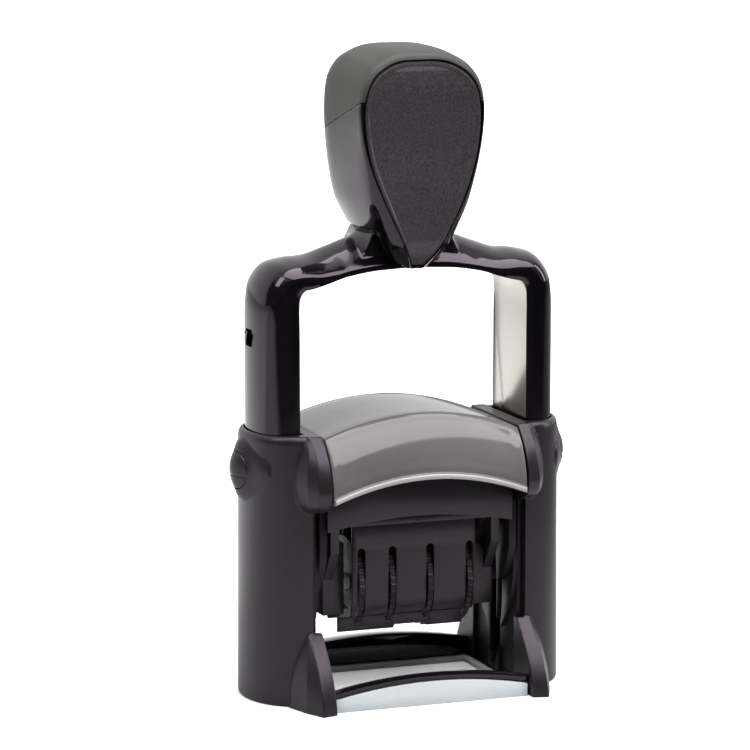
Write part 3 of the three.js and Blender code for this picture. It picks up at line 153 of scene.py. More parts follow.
def set_stage():
    """A pale floor that runs out to the white background and keeps the stamp's shadow. What it throws
    back at the stamp falls off towards the dark front of the room."""
    mesh = bpy.data.meshes.new("floor")
    corners = [(-1, -1), (1, -1), (1, 1), (-1, 1)]
    mesh.from_pydata([(x * FLOOR_REACH, y * FLOOR_REACH, 0) for x, y in corners], [], [(0, 1, 2, 3)])
    floor = bpy.data.objects.new("floor", mesh)
    bpy.context.scene.collection.objects.link(floor)
    mat = bpy.data.materials.new("floor_white")
    mat.use_nodes = True
    nodes, links = mat.node_tree.nodes, mat.node_tree.links
    nodes.clear()
    out = nodes.new("ShaderNodeOutputMaterial")
    seen = nodes.new("ShaderNodeBsdfDiffuse")
    seen.inputs["Color"].default_value = FLOOR_WHITE
    glow = nodes.new("ShaderNodeEmission")
    add = nodes.new("ShaderNodeAddShader")
    links.new(seen.outputs[0], add.inputs[0])
    links.new(glow.outputs[0], add.inputs[1])
    where = nodes.new("ShaderNodeTexCoord")
    away = nodes.new("ShaderNodeVectorMath")
    away.operation = "LENGTH"
    links.new(where.outputs["Object"], away.inputs[0])
    links.new(smooth_range(nodes, links, away.outputs["Value"], **FLOOR_GLOW), glow.inputs["Strength"])
    thrown = nodes.new("ShaderNodeBsdfDiffuse")
    share = graded(nodes, links, where.outputs["Object"], FLOOR_GRADES, "MULTIPLY")
    links.new(share, thrown.inputs["Color"])
    path = nodes.new("ShaderNodeLightPath")
    choice = nodes.new("ShaderNodeMixShader")
    links.new(path.outputs["Is Camera Ray"], choice.inputs["Fac"])
    links.new(thrown.outputs[0], choice.inputs[1])
    links.new(add.outputs[0], choice.inputs[2])
    links.new(choice.outputs[0], out.inputs["Surface"])
    mesh.materials.append(mat)


bpy.context.scene.view_settings.view_transform = "Standard"
set_camera()
set_light()
set_stage()


# Materials

def linear(r, g, b):
    """An 8-bit sRGB colour as the linear colour that a shader takes."""
    def one(v):
        v = v / 255
        return v / 12.92 if v <= 0.04045 else ((v + 0.055) / 1.055) ** 2.4
    return (one(r), one(g), one(b), 1.0)


def finish(name, dark, light, rough, grain, patch=60.0, rough_span=0.08, **sockets):
    """A moulded or ground surface: two close colours in soft patches, a fine grain in the bump, and
    roughness that varies a little over the surface. grain is (spots per metre, height in metres), and
    sockets set the shader's own inputs."""
    mat = bpy.data.materials.new(name)
    mat.use_nodes = True
    nodes, links = mat.node_tree.nodes, mat.node_tree.links
    shader = nodes["Principled BSDF"]
    for key, value in sockets.items():
        shader.inputs[key.replace("_", " ")].default_value = value
    where = nodes.new("ShaderNodeTexCoord")
    cloud = nodes.new("ShaderNodeTexNoise")
    cloud.inputs["Scale"].default_value = patch
    cloud.inputs["Detail"].default_value = 4.0
    links.new(where.outputs["Object"], cloud.inputs["Vector"])
    ramp = nodes.new("ShaderNodeValToRGB")
    ramp.color_ramp.elements[0].position = 0.35
    ramp.color_ramp.elements[0].color = dark
    ramp.color_ramp.elements[1].position = 0.65
    ramp.color_ramp.elements[1].color = light
    links.new(cloud.outputs["Fac"], ramp.inputs["Fac"])
    links.new(ramp.outputs["Color"], shader.inputs["Base Color"])
    spread = nodes.new("ShaderNodeMapRange")
    spread.inputs["To Min"].default_value = rough - rough_span / 2
    spread.inputs["To Max"].default_value = rough + rough_span / 2
    links.new(cloud.outputs["Fac"], spread.inputs["Value"])
    links.new(spread.outputs["Result"], shader.inputs["Roughness"])
    fine = nodes.new("ShaderNodeTexNoise")
    fine.inputs["Scale"].default_value = grain[0]
    fine.inputs["Detail"].default_value = 2.0
    links.new(where.outputs["Object"], fine.inputs["Vector"])
    bump = nodes.new("ShaderNodeBump")
    bump.inputs["Strength"].default_value = 1.0
    bump.inputs["Distance"].default_value = grain[1]
    links.new(fine.outputs["Fac"], bump.inputs["Height"])
    links.new(bump.outputs["Normal"], shader.inputs["Normal"])
    return mat


VIOLET = (1.0, 0.88, 1.0, 1.0)  # the black plastics' highlights lean to violet
# A finish for each slot of the record, and two that single pieces take: cam_black, and a pale smoke for the
# cover's lip rods whose lightness is a painted highlight
finishes = {
    "matte_black": finish("moulded_matte_black", linear(23, 21, 24), linear(28, 26, 29), 0.35,
                          (2600, 0.000025), Specular_Tint=VIOLET, Specular_IOR_Level=0.45),
    "gloss_black": finish("moulded_gloss_black", linear(9, 8, 10), linear(14, 12, 15), 0.06, (60, 0.000012),
                          rough_span=0.03, Specular_Tint=VIOLET),
    "soft_grey": finish("soft_grip_grey", linear(49, 49, 46), linear(57, 57, 54), 0.55, (3200, 0.00002)),
    "cover_clear": finish("smoked_cover", linear(98, 95, 96), linear(107, 104, 105), 0.10, (70, 0.00002)),
    "window_clear": finish("clear_window", linear(210, 214, 217), linear(218, 222, 225), 0.08, (60, 0.00002)),
    "card": finish("index_card_paper", linear(176, 174, 172), linear(190, 188, 186), 0.7, (1800, 0.00002)),
    "steel": finish("rolled_steel", linear(176, 174, 165), linear(182, 180, 171), 0.26, (1500, 0.000002),
                    25.0, 0.04, Metallic=1.0),
    "spring_steel": finish("spring_wire", linear(150, 150, 150), linear(176, 176, 176), 0.3, (900, 0.00001),
                           Metallic=1.0),
    "die_rubber": finish("die_rubber", linear(36, 30, 31), linear(44, 37, 38), 0.65, (1500, 0.00003)),
    "ink_felt": finish("inked_felt", linear(24, 26, 40), linear(34, 36, 54), 0.9, (2200, 0.00012)),
    "wheel_black": finish("wheel_black", linear(26, 24, 26), linear(34, 31, 34), 0.4, (2400, 0.00002),
                          Specular_Tint=VIOLET, Specular_IOR_Level=0.3),
    "shaft_white": finish("shaft_nylon", linear(236, 236, 236), linear(246, 246, 246), 0.4, (900, 0.00001)),
    "badge_dark": finish("badge_foil", linear(46, 43, 46), linear(68, 64, 68), 0.38, (2600, 0.00004), 2200.0,
                         Specular_Tint=VIOLET),
    "cam_black": finish("cam_black", linear(20, 18, 20), linear(26, 23, 26), 0.42, (1500, 0.00002),
                        Specular_Tint=VIOLET, Specular_IOR_Level=0.25),
    # Far lighter than the smoked cover: a painted highlight along the lit lips
    "lip_painted_highlight": finish("lip_painted_highlight", linear(172, 167, 168), linear(180, 175, 176), 0.08, (70, 0.00001)),
}


slot_of = {part["node"]: part["material_slot"] for part in frame["record"]["subparts"]}
body_of = {node: body for body, group in frame["record"]["behaviour"]["bodies"].items() for node in group}


# Mesh helpers, in millimetres

def place(name, mesh):
    """A new object in the scene."""
    obj = bpy.data.objects.new(name, mesh)
    bpy.context.scene.collection.objects.link(obj)
    return obj


def outward(obj):
    """Turns every face outwards."""
    bm = bmesh.new()
    bm.from_mesh(obj.data)
    bmesh.ops.recalc_face_normals(bm, faces=bm.faces)
    bm.to_mesh(obj.data)
    bm.free()
    return obj


def mesh_of(name, points, faces):
    """An object from points in millimetres."""
    mesh = bpy.data.meshes.new(name)
    mesh.from_pydata([tuple(c * MM for c in p) for p in points], [], faces)
    return outward(place(name, mesh))


def skin(name, rings, rows_cap=False):
    """A closed skin through rings of equal length. The ends are flat faces, or rungs between a ring's
    two halves."""
    size = len(rings[0])
    points = [p for ring in rings for p in ring]
    faces = []
    for r in range(len(rings) - 1):
        for i in range(size):
            j = (i + 1) % size
            faces.append((r * size + i, r * size + j, (r + 1) * size + j, (r + 1) * size + i))
    for start in (0, (len(rings) - 1) * size):
        if rows_cap:
            for i in range(size // 2 - 1):
                faces.append((start + i, start + i + 1, start + size - 2 - i, start + size - 1 - i))
        else:
            faces.append(tuple(start + i for i in range(size)))
    return mesh_of(name, points, faces)


def baked(obj):
    """Applies the object's modifiers to its mesh."""
    ready = obj.evaluated_get(bpy.context.evaluated_depsgraph_get())
    mesh = bpy.data.meshes.new_from_object(ready)
    obj.modifiers.clear()
    obj.data = mesh
    return obj


def cut(obj, tool, operation="DIFFERENCE"):
    """Takes the tool from the object, or joins it on with UNION, and removes the tool."""
    step = obj.modifiers.new("cut", "BOOLEAN")
    step.operation = operation
    step.solver = "EXACT"
    step.object = tool
    baked(obj)
    bpy.data.objects.remove(tool)
    return obj


def triangled(obj):
    """Splits the many-sided faces that the cuts leave."""
    bm = bmesh.new()
    bm.from_mesh(obj.data)
    bmesh.ops.triangulate(bm, faces=[face for face in bm.faces if len(face.verts) > 4])
    bm.to_mesh(obj.data)
    bm.free()
    return obj


def merged(name, pieces, voxel, passes):
    """One soft-cornered skin round several closed pieces, as a mould would leave it."""
    bm = bmesh.new()
    for piece in pieces:
        bm.from_mesh(piece.data)
        bpy.data.objects.remove(piece)
    mesh = bpy.data.meshes.new(name)
    bm.to_mesh(mesh)
    bm.free()
    obj = place(name, mesh)
    remesh = obj.modifiers.new("remesh", "REMESH")
    remesh.mode = "VOXEL"
    remesh.voxel_size = voxel * MM
    soften = obj.modifiers.new("soften", "SMOOTH")
    soften.factor = 0.5
    soften.iterations = passes
    return baked(obj)


def bevelled(obj, width, segments=2, angle=30):
    """Rounds the edges sharper than the angle."""
    step = obj.modifiers.new("edge", "BEVEL")
    step.width = width * MM
    step.segments = segments
    step.limit_method = "ANGLE"
    step.angle_limit = math.radians(angle)
    step.harden_normals = False
    return baked(obj)


def shaded(obj, angle=32):
    """Smooth shading that breaks at edges sharper than the angle."""
    bm = bmesh.new()
    bm.from_mesh(obj.data)
    limit = math.radians(angle)
    for face in bm.faces:
        face.smooth = True
    for edge in bm.edges:
        edge.smooth = len(edge.link_faces) == 2 and edge.calc_face_angle(0) < limit
    bm.to_mesh(obj.data)
    bm.free()
    return obj


WELD = 0.002          # points of a CAD node closer than this are one, in millimetres
FLAT_ANGLE = 1.5      # faces that meet at less than this are one, in degrees


def copied(node):
    """A copy of a CAD node with its flat faces whole again, ready for bevels."""
    source = frame["nodes"][node]
    obj = place("cad_" + node, source.data.copy())
    bm = bmesh.new()
    bm.from_mesh(obj.data)
    bmesh.ops.remove_doubles(bm, verts=bm.verts, dist=WELD * MM)
    bmesh.ops.dissolve_limit(bm, angle_limit=math.radians(FLAT_ANGLE), verts=bm.verts, edges=bm.edges)
    bm.to_mesh(obj.data)
    bm.free()
    return obj


def dress(obj, node, name=None, material=None):
    """The piece takes the node's place, body, slot and finish."""
    obj.name = name or node + "_skin"
    obj.data.materials.clear()
    obj.data.materials.append(material or finishes[slot_of[node]])
    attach(obj, body_of[node])
    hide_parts(node)
    return obj


def mirror_x(obj, name):
    """A copy of the piece on the other side of the stamp."""
    mesh = obj.data.copy()
    mesh.transform(Matrix.Scale(-1, 4, (1, 0, 0)))
    mesh.flip_normals()
    return place(name, mesh)


def mix(a, b, t):
    """The point a share t of the way from a to b."""
    return tuple(p + (q - p) * t for p, q in zip(a, b))


def smoothstep(low, high, v):
    """0 below low and 1 above high, with a smooth rise between."""
    t = min(1.0, max(0.0, (v - low) / (high - low)))
    return t * t * (3 - 2 * t)


def spline(points):
    """A centripetal Catmull-Rom curve through the points, as a function of 0 to 1."""
    def at(t):
        reach = t * (len(points) - 1)
        i = min(int(reach), len(points) - 2)
        w = reach - i
        p1, p2 = points[i], points[i + 1]
        p0 = points[i - 1] if i else mix(p2, p1, 2)
        p3 = points[i + 2] if i + 2 < len(points) else mix(p1, p2, 2)
        span = [max(math.dist(a, b) ** 0.5, 1e-6) for a, b in ((p0, p1), (p1, p2), (p2, p3))]
        result = []
        for a, b, c, d in zip(p0, p1, p2, p3):
            s1 = ((b - a) / span[0] - (c - a) / (span[0] + span[1]) + (c - b) / span[1]) * span[1]
            s2 = ((c - b) / span[1] - (d - b) / (span[1] + span[2]) + (d - c) / span[2]) * span[1]
            result.append(b + s1 * w + (3 * (c - b) - 2 * s1 - s2) * w * w + (2 * (b - c) + s1 + s2) * w ** 3)
        return tuple(result)
    return at


def along(rows, per):
    """Rows of numbers with smooth rows put in between."""
    curve = spline(rows)
    count = (len(rows) - 1) * per
    return [curve(i / count) for i in range(count + 1)]


def bezier(a, b, c, d, count):
    """Points after a, up to d, on the cubic curve from a to d."""
    points = []
    for i in range(1, count + 1):
        t = i / count
        u = 1 - t
        points.append(tuple(u ** 3 * p + 3 * u * u * t * q + 3 * u * t * t * r + t ** 3 * v
                            for p, q, r, v in zip(a, b, c, d)))
    return points


def circle(x, radius, z, corners):
    """A level circle about (x, 0)."""
    turns = [i * math.tau / corners for i in range(corners)]
    return [(x + radius * math.cos(a), radius * math.sin(a), z) for a in turns]


def rounded_side(inner, flat, outer, half, pieces=30):
    """Plan of a column or leg: flat inner side and front, and an elliptical outer side."""
    points = [(inner, -half)]
    for i in range(2 * pieces + 1):
        turn = -math.pi / 2 + i * math.pi / (2 * pieces)
        points.append((flat + (outer - flat) * math.cos(turn), half * math.sin(turn)))
    points.append((inner, half))
    return points


def box_of(name, x0, x1, y0, y1, z0, z1):
    """A box between the two values on each axis."""
    return mesh_of(name, [(x, y, z) for x in (x0, x1) for y in (y0, y1) for z in (z0, z1)],
                   [(0, 1, 3, 2), (4, 6, 7, 5), (0, 4, 5, 1), (2, 3, 7, 6), (0, 2, 6, 4), (1, 5, 7, 3)])


# Sizes shared with the frame, in millimetres

COLUMN_X, COLUMN_W, COLUMN_Y, COLUMN_Z = 24.9, 11.7, 13.6, 59.8
LEG_X, LEG_W, LEG_Y = 26.5, 8.55, 9.9
LEG_FLAT = 0.41
CORNER_Z, CROWN_Z, TOP_Z, LEG_Z = 91.1, 95.2, 102.6, 31.5
BOW_OUTER = LEG_X + LEG_W
STROKE = 29.0
BUTTON_Z = 51.2
SPRING_X = 31.288
KNOB_Z, KNOB_H, KNOB_X, KNOB_FRONT, KNOB_BACK = 95.1, 48.4, 14.4, 15.0, 14.5
COVER_X, COVER_Z, COVER_DROP = 22.5, 64.0, 4.5


# Handle bow

LEG_STEPS = 12                      # rings on a leg, and for each span of the arch
ARCH_STEPS = 10
EDGE_START, EDGE_ROUND_Y = (0, -9.66), -9.74   # the section's rounded inner edge, next to the strip
SADDLE_Z = 103.8                    # height of the pad under the knob, and how it fades along x and y
SADDLE_X_FADE, SADDLE_Y_FADE = (8.0, 11.6), (7.4, 9.4)
CHANNEL_Y, CHANNEL_DEPTH = 9.62, 1.1   # channel for the steel strip
SPRING_BORE, BORE_ENDS = 2.9, (30, 54)
CATCH_PROFILE = ((0.5, 1.1), (-1.0, 1.1), (-1.0, -1.1), (0.15, -1.1))  # depth in the leg, and height
CATCH_ENDS = (-5.2, 3.6)
POCKET_DEPTH, POCKET_Y, POCKET_Z = 1.15, 2.15, 1.9


def bow_curves():
    """The bow's inner and outer contour from the leg's lower end to the middle of the arch, in x and z."""
    w, rise, up = LEG_W, CROWN_Z - CORNER_Z, TOP_Z - CORNER_Z
    leg_top = CORNER_Z - 0.31 * w
    far = LEG_X + w
    inner = [
        (LEG_X, LEG_Z), (LEG_X, leg_top - w), (LEG_X, leg_top),
        (LEG_X - 0.03 * w, CORNER_Z - 0.1 * w), (LEG_X - 0.16 * w, CORNER_Z),
        (0.87 * LEG_X, CORNER_Z + 0.1 * rise), (0.75 * LEG_X, CORNER_Z + 0.32 * rise),
        (0.6 * LEG_X, CORNER_Z + 0.62 * rise), (0.36 * LEG_X, CORNER_Z + 0.88 * rise), (0, CROWN_Z),
    ]
    outer = [
        (far, LEG_Z), (far, leg_top - w), (0.993 * far, leg_top),
        (0.965 * far, CORNER_Z + 0.13 * up), (0.885 * far, CORNER_Z + 0.44 * up),
        (0.765 * far, CORNER_Z + 0.55 * up), (0.63 * far, CORNER_Z + 0.59 * up),
        (0.49 * far, CORNER_Z + 0.73 * up), (0.29 * far, CORNER_Z + 0.93 * up), (0, TOP_Z),
    ]
    return spline(inner), spline(outer), len(inner) - 1


def bow_places(spans):
    """Where the rings stand along the contour, as shares of its length."""
    leg = [i / LEG_STEPS / spans for i in range(LEG_STEPS)]
    return leg + [i / ARCH_STEPS / spans for i in range(ARCH_STEPS, spans * ARCH_STEPS + 1)]


def leg_half():
    """Half of the leg's section, from the inner edge round to the middle of the outer side, as (share, y)."""
    half, edge = LEG_Y, 1.3 / LEG_W
    steps = 26
    points = [EDGE_START, (0.08 * edge, EDGE_ROUND_Y), (0.9 * edge, -half + 0.02), (1.2 * edge, -half)]
    for i in range(steps + 1):
        turn = -math.pi / 2 + i / steps * math.pi / 2
        points.append((LEG_FLAT + (1 - LEG_FLAT) * math.cos(turn), half * math.sin(turn)))
    return points


def arch_half():
    """The same for the arch: its front leans back under a rounded top."""
    points = [EDGE_START, (0.02, EDGE_ROUND_Y), (0.12, -9.55), (0.15, -9.48), (0.17, -9.42)]
    return points + bezier(points[-1], (0.42, -8.1), (0.95, -5.1), (1.0, 0.0), 26)


def swept_bow(name):
    """Both legs and the arch in one skin, with a channel for the steel strip and a pad for the knob."""
    inner, outer, spans = bow_curves()
    foot_in, foot_out = inner(1 / spans), outer(1 / spans)
    legs, arch = leg_half(), arch_half()

    def ring(place, side):
        near, far = inner(place), outer(place)
        if place * spans < 1:
            near = mix(inner(0), foot_in, place * spans)
            far = mix(outer(0), foot_out, place * spans)
        length = math.dist(near, far)
        unit = ((far[0] - near[0]) / length, (far[1] - near[1]) / length)
        lean = 1 - smoothstep(0.55 * LEG_X, 0.99 * LEG_X, near[0])
        half = [mix(p, q, lean) for p, q in zip(legs, arch)]
        section = [(p * length, y) for p, y in half] + [(p * length, -y) for p, y in reversed(half[:-1])]
        section += [(0, CHANNEL_Y), (CHANNEL_DEPTH, CHANNEL_Y), (CHANNEL_DEPTH, -CHANNEL_Y), (0, -CHANNEL_Y)]
        points = []
        for reach, y in section:
            x, z = near[0] + unit[0] * reach, near[1] + unit[1] * reach
            if reach > 0.45 * length:
                lift = (1 - smoothstep(*SADDLE_X_FADE, abs(x))) * (1 - smoothstep(*SADDLE_Y_FADE, abs(y)))
                z += max(0.0, SADDLE_Z - z) * lift
            points.append((side * x, y, z))
        return points

    places = bow_places(spans)
    rings = [ring(p, 1) for p in places] + [ring(p, -1) for p in reversed(places[:-1])]
    return skin(name, rings)


def catch_tool(side, z):
    """Wedge that leaves a shallow catch, open upwards, in the leg's outer side."""
    points = [(side * (BOW_OUTER - deep), y, z + rise) for deep, rise in CATCH_PROFILE for y in CATCH_ENDS]
    faces = [(0, 2, 3, 1), (2, 4, 5, 3), (4, 6, 7, 5), (6, 0, 1, 7), (0, 6, 4, 2), (1, 3, 5, 7)]
    return mesh_of("catch", points, faces)


def make_bow():
    """The bow with its two catches and the spring bore in each leg."""
    bow = swept_bow("bow")
    for side in (1, -1):
        for rise in (0, STROKE):
            z = BUTTON_Z + rise
            cut(bow, catch_tool(side, z))
            low_x, high_x = sorted((side * (BOW_OUTER - POCKET_DEPTH), side * (BOW_OUTER + 1)))
            cut(bow, box_of("pocket", low_x, high_x, -POCKET_Y, POCKET_Y, z - POCKET_Z, z + POCKET_Z))
        cut(bow, skin("bore", [circle(side * SPRING_X, SPRING_BORE, z, 40) for z in BORE_ENDS]))
    return dress(shaded(triangled(bow), 38), "handle_bow")


make_bow()


# Knob

# Half-width, height, rise and back spread, as shares
TEARDROP = [
    (0.1, 0, 0, 0.34), (0.3, 0.1, 0, 0.34), (0.43, 0.175, 0, 0.32), (0.66, 0.31, 0, 0.25),
    (0.86, 0.46, 0, 0.12), (0.97, 0.6, 0, 0.03), (1, 0.72, 0.02, 0), (0.945, 0.82, 0.12, 0.01),
    (0.825, 0.885, 0.14, 0), (0.63, 0.93, 0.12, 0), (0.42, 0.956, 0.11, 0), (0.2, 0.965, 0.105, 0),
]
LABEL_RISE, LABEL_INSET = 0.66, 1.1      # the label's tip above the knob's, and its edge inside the knob's
RECESS_GROW = 0.45
RECESS_LAYERS = ((-1.5, 0), (0.9, 0))
# The badge from its raised rim's outside to its back: depth behind the knob's front, and shrink
BADGE_LAYERS = ((0.06, 1.1), (0.04, 0.95), (-0.16, 0.6), (-0.2, 0.4), (-0.12, 0.1), (0.1, 0), (0.8, 0))
ARCH_ROOM_Y, ARCH_ROOM_Z = -10.2, (60, 104)   # what the bow's arch takes out of the knob
KNOB_EDGE = 0.16
PART_FRONT, PART_BACK = 0.762, 0.572     # the cap's seam at the front and back, as shares of the height
PART_HALF = 0.1                          # half the seam's gap


def teardrop_rows(bottom, height, half, count=96):
    """Rows of the teardrop from its tip to its top."""
    outline = spline([(w, h, r) for w, h, r, s in TEARDROP])
    back = spline([(s, h, r) for w, h, r, s in TEARDROP])
    rows = []
    for i in range(count + 1):
        w, h, r = outline(i / count)
        rows.append({"share": h, "width": w, "half": w * half, "z": bottom + h * height, "rise": r * half,
                     "spread": back(i / count)[0] * half})
    return rows


def front_depth(share):
    """How far the front stands out: it swells below the middle and turns back at the tip and the top."""
    swell = KNOB_FRONT * 0.06 * math.exp(-(((share - 0.3) / 0.2) ** 2))
    tip = KNOB_FRONT * 0.27 * max(0, 1 - share / 0.13) ** 1.6
    crown = KNOB_FRONT * 0.09 * max(0, (share - 0.8) / 0.17) ** 2
    return KNOB_FRONT + swell - tip - crown


def teardrop_ring(rows, depth, shrink, lift, raised):
    """A ring round the teardrop: shrunk at the edge, spread and lifted to the back, raised at the tip."""
    sides = []
    for row in rows:
        crown = max(0, (row["share"] - 0.6) / 0.365) ** 2
        low = max(0, 1 - row["share"] / 0.3)
        half = row["half"] + lift * row["spread"] - shrink * min(1, row["width"] * 1.5)
        z = row["z"] + lift * row["rise"] - shrink * crown + raised * low
        sides.append((max(half, row["half"] * 0.2), depth(row["share"]), z))
    return sides + [(-x, y, z) for x, y, z in reversed(sides)]


def knob_whole():
    """The knob in one piece, through teardrop rings from the front to the back."""
    rows = teardrop_rows(KNOB_Z, KNOB_H, KNOB_X)
    e = KNOB_X * 0.05
    back = KNOB_BACK
    layers = [
        (lambda s: -front_depth(s), e, 0, 0),
        (lambda s: -front_depth(s) + e * 0.4, e * 0.3, 0, 0),
        (lambda s: -front_depth(s) + e * 1.2, 0, 0.15, 0),
        (lambda s: -front_depth(s) + e * 4, 0, 0.5, 0),
        (lambda s: -back * 0.45, 0, 0.85, e),
        (lambda s: 0, 0, 1, e * 3),
        (lambda s: back * 0.45, 0, 0.9, e * 5),
        (lambda s: back * 0.7, e * 0.8, 0.7, e * 6.5),
        (lambda s: back * 0.88, e * 2.4, 0.4, e * 7.5),
        (lambda s: back * 0.97, e * 4, 0.1, e * 8.5),
        (lambda s: back, e * 5.6, 0, e * 9),
    ]
    rings = [teardrop_ring(rows, *layer) for layer in layers]
    tracks = [along([ring[i] for ring in rings], 5) for i in range(len(rings[0]))]
    fine = [[track[r] for track in tracks] for r in range(len(tracks[0]))]
    return skin("knob", fine, rows_cap=True)


def label_solid(name, grow, layers):
    """A teardrop on the knob's front through layers of (depth behind the front, shrink)."""
    bottom = KNOB_Z + LABEL_RISE - grow
    rows = teardrop_rows(bottom, KNOB_H - 2 * LABEL_INSET + 2 * grow, KNOB_X - LABEL_INSET + grow)
    rings = [teardrop_ring(rows, lambda s, d=deep: -front_depth(s) + d, shrink, 0, 0)
             for deep, shrink in layers]
    return skin(name, rings, rows_cap=True)


def sliced(obj, point, normal):
    """Keeps what lies behind the plane and closes the cut."""
    bm = bmesh.new()
    bm.from_mesh(obj.data)
    whole = bm.verts[:] + bm.edges[:] + bm.faces[:]
    found = bmesh.ops.bisect_plane(bm, geom=whole, plane_co=[c * MM for c in point], plane_no=normal,
                                   clear_outer=True)
    edges = [g for g in found["geom_cut"] if isinstance(g, bmesh.types.BMEdge)]
    bmesh.ops.holes_fill(bm, edges=edges)
    bm.to_mesh(obj.data)
    bm.free()
    return outward(obj)


def make_knob():
    """The knob's body and soft cap, parted along a slope, and the blank badge in its recess."""
    whole = knob_whole()
    cut(whole, label_solid("recess", RECESS_GROW, RECESS_LAYERS))
    cap = place("cap", whole.data.copy())
    front_z, back_z = KNOB_Z + PART_FRONT * KNOB_H, KNOB_Z + PART_BACK * KNOB_H
    slope = (front_z - back_z) / (KNOB_FRONT + KNOB_BACK)
    up = Vector((0, slope, 1)).normalized()
    sliced(cap, (0, -KNOB_FRONT, front_z + PART_HALF), -up)
    sliced(whole, (0, -KNOB_FRONT, front_z - PART_HALF), up)
    reach = 2 * KNOB_X
    cut(whole, box_of("arch_room", -reach, reach, ARCH_ROOM_Y, reach, *ARCH_ROOM_Z))
    dress(shaded(bevelled(cap, KNOB_EDGE, angle=40)), "knob_cap")
    dress(shaded(bevelled(whole, KNOB_EDGE, angle=40)), "knob_body")
    dress(shaded(label_solid("badge", 0, BADGE_LAYERS), 20), "badge_plate")


make_knob()


# Columns and buttons

BOSS_TIP, BOSS_NOSE, BOSS_SLOPE, BOSS_ARC = COLUMN_X + COLUMN_W + 2.8, 2.2, 0.77, 7.8
BOSS_Y, BOSS_Z = 10.2, 6.9
BOSS_LIFT = 0.55                         # how far the boss's rim stands over the nose
BUTTON_HALF_Y, BUTTON_HALF_Z = 4.9, 4.2
BUTTON_BORE_Y, BUTTON_BORE_Z = 5.05, 4.35
STEM_SHARE, STEM_GAP, SEAT_GAP = 0.405, 0.2, 1.7
GROOVE_DROP, GROOVE_DEPTH, GROOVE_WIDTH = 1.0, 0.2, 0.25
CHAMFER_FROM, CHAMFER = 0.955, 0.25
COLUMN_RIM, COLUMN_INSET, COLUMN_FLARE, COLUMN_FLAT = 1.8, 1.1, 0.35, 0.16
COLUMN_WALL, LEG_GAP, COLUMN_FLOOR = 0.8, 0.3, 2
AXLE_SLOT_X, AXLE_SLOT_Y, AXLE_SLOT_TOP = (-3, 1.8), 2.1, 38.1
DECK_WIDTH, DECK_Y, DECK_Z = 1.5, 12.8, (-2.2, -0.1)
SPRING_POST = ((1.3, 1.7), (1.3, 19.2), (1.15, 19.8), (0.7, 20))   # radius and height
SIDE_INNER_X = 22.9                      # inner side of wings, fins and deck
WING_LOW_Z, WING_DEPTH, WING_WIDTH, WING_RIDGE = 43, 6.3, 4.1, 0.82
FIN_HEIGHT, FIN_DEPTH, FIN_WIDTH, FIN_RIDGE = 16.3, 10.7, 5.5, 1.5


def nose_x(y, z):
    """The surface that boss and button share: an upright nose that falls back to all sides."""
    return BOSS_TIP + BOSS_NOSE - math.hypot(BOSS_NOSE, BOSS_SLOPE * y) - (z - BUTTON_Z) ** 2 / (2 * BOSS_ARC)


def oval(radius_y, radius_z, place_x, corners=72):
    """An oval about the button's axis, with x from a function of y and z."""
    ring = []
    for i in range(corners):
        turn = i * math.tau / corners
        y, z = radius_y * math.cos(turn), BUTTON_Z + radius_z * math.sin(turn)
        ring.append((place_x(y, z), y, z))
    return ring


def nose_solid(name, radius_y, radius_z, steps, surface=nose_x, shares=None):
    """A stepped oval solid under the nose's surface. A step is (share of the two radii, x)."""
    rings = [oval(share * radius_y, share * radius_z, lambda y, z, x=x: x) for share, x in steps]
    floor_x = steps[0][1] + 0.2
    for share in shares or [1 - i / 24 for i in range(24)] + [0.01]:
        rings.append(oval(share * radius_y, share * radius_z, lambda y, z: max(surface(y, z), floor_x)))
    return skin(name, rings)


def column_shell():
    """The column with softly rounded lower and upper rims, a little wider at the foot."""
    rim, inset = COLUMN_RIM, COLUMN_INSET
    steps = 8
    levels = []
    for i in range(steps + 1):
        turn = i / steps * math.pi / 2
        levels.append((rim / 2 * (1 - math.cos(turn)), inset / 2 * (1 - math.sin(turn))))
    levels += [(COLUMN_Z * i / 10, 0) for i in range(1, 10)]
    for i in range(steps + 1):
        turn = i / steps * math.pi / 2
        levels.append((COLUMN_Z - rim * (1 - math.sin(turn)), inset * (1 - math.cos(turn))))
    rings = []
    for z, inset_here in levels:
        outer = COLUMN_X + COLUMN_W + COLUMN_FLARE * (1 - z / COLUMN_Z) - inset_here
        side = rounded_side(COLUMN_X, COLUMN_X + COLUMN_FLAT * COLUMN_W, outer, COLUMN_Y - inset_here)
        rings.append([(x, y, z) for x, y in side])
    return skin("shell", rings)


def side_piece(name, rows, sign):
    """A leaf on the column's front or back, through rows of z, depth, outer x, ridge x, the shares of the
    depth at the inner side and halfway out, and the outer edge's rise."""
    root = -COLUMN_Y + 1.6
    inner = SIDE_INNER_X
    rings = []
    for z, depth, outer, ridge, inner_share, mid_share, outer_rise in along(rows, 6):
        ring = [(inner, root), (inner, -COLUMN_Y - depth * inner_share), (ridge, -COLUMN_Y - depth),
                (ridge + 0.55 * (outer - ridge), -COLUMN_Y - depth * mid_share),
                (outer, -COLUMN_Y - outer_rise), (outer, root)]
        rings.append([(x, sign * y, z) for x, y in ring])
    return skin(name, rings)


def wing(sign):
    """The raised leaf beside the cover."""
    rows = []
    heights = [0, 0.05, 0.14, 0.28, 0.45, 0.66, 0.84, 1]
    depths = [0.12, 0.5, 0.86, 1, 0.94, 0.74, 0.42, 0.02]
    outers = [0.3, 0.6, 0.84, 0.97, 1, 0.86, 0.6, 0.28]
    for height, depth, outer in zip(heights, depths, outers):
        z = WING_LOW_Z + height * (COLUMN_Z - WING_LOW_Z)
        rows.append((z, depth * WING_DEPTH, COLUMN_X + outer * WING_WIDTH, COLUMN_X + outer * WING_RIDGE,
                     1.1, 0.62, 0.19))
    return side_piece("wing", rows, sign)


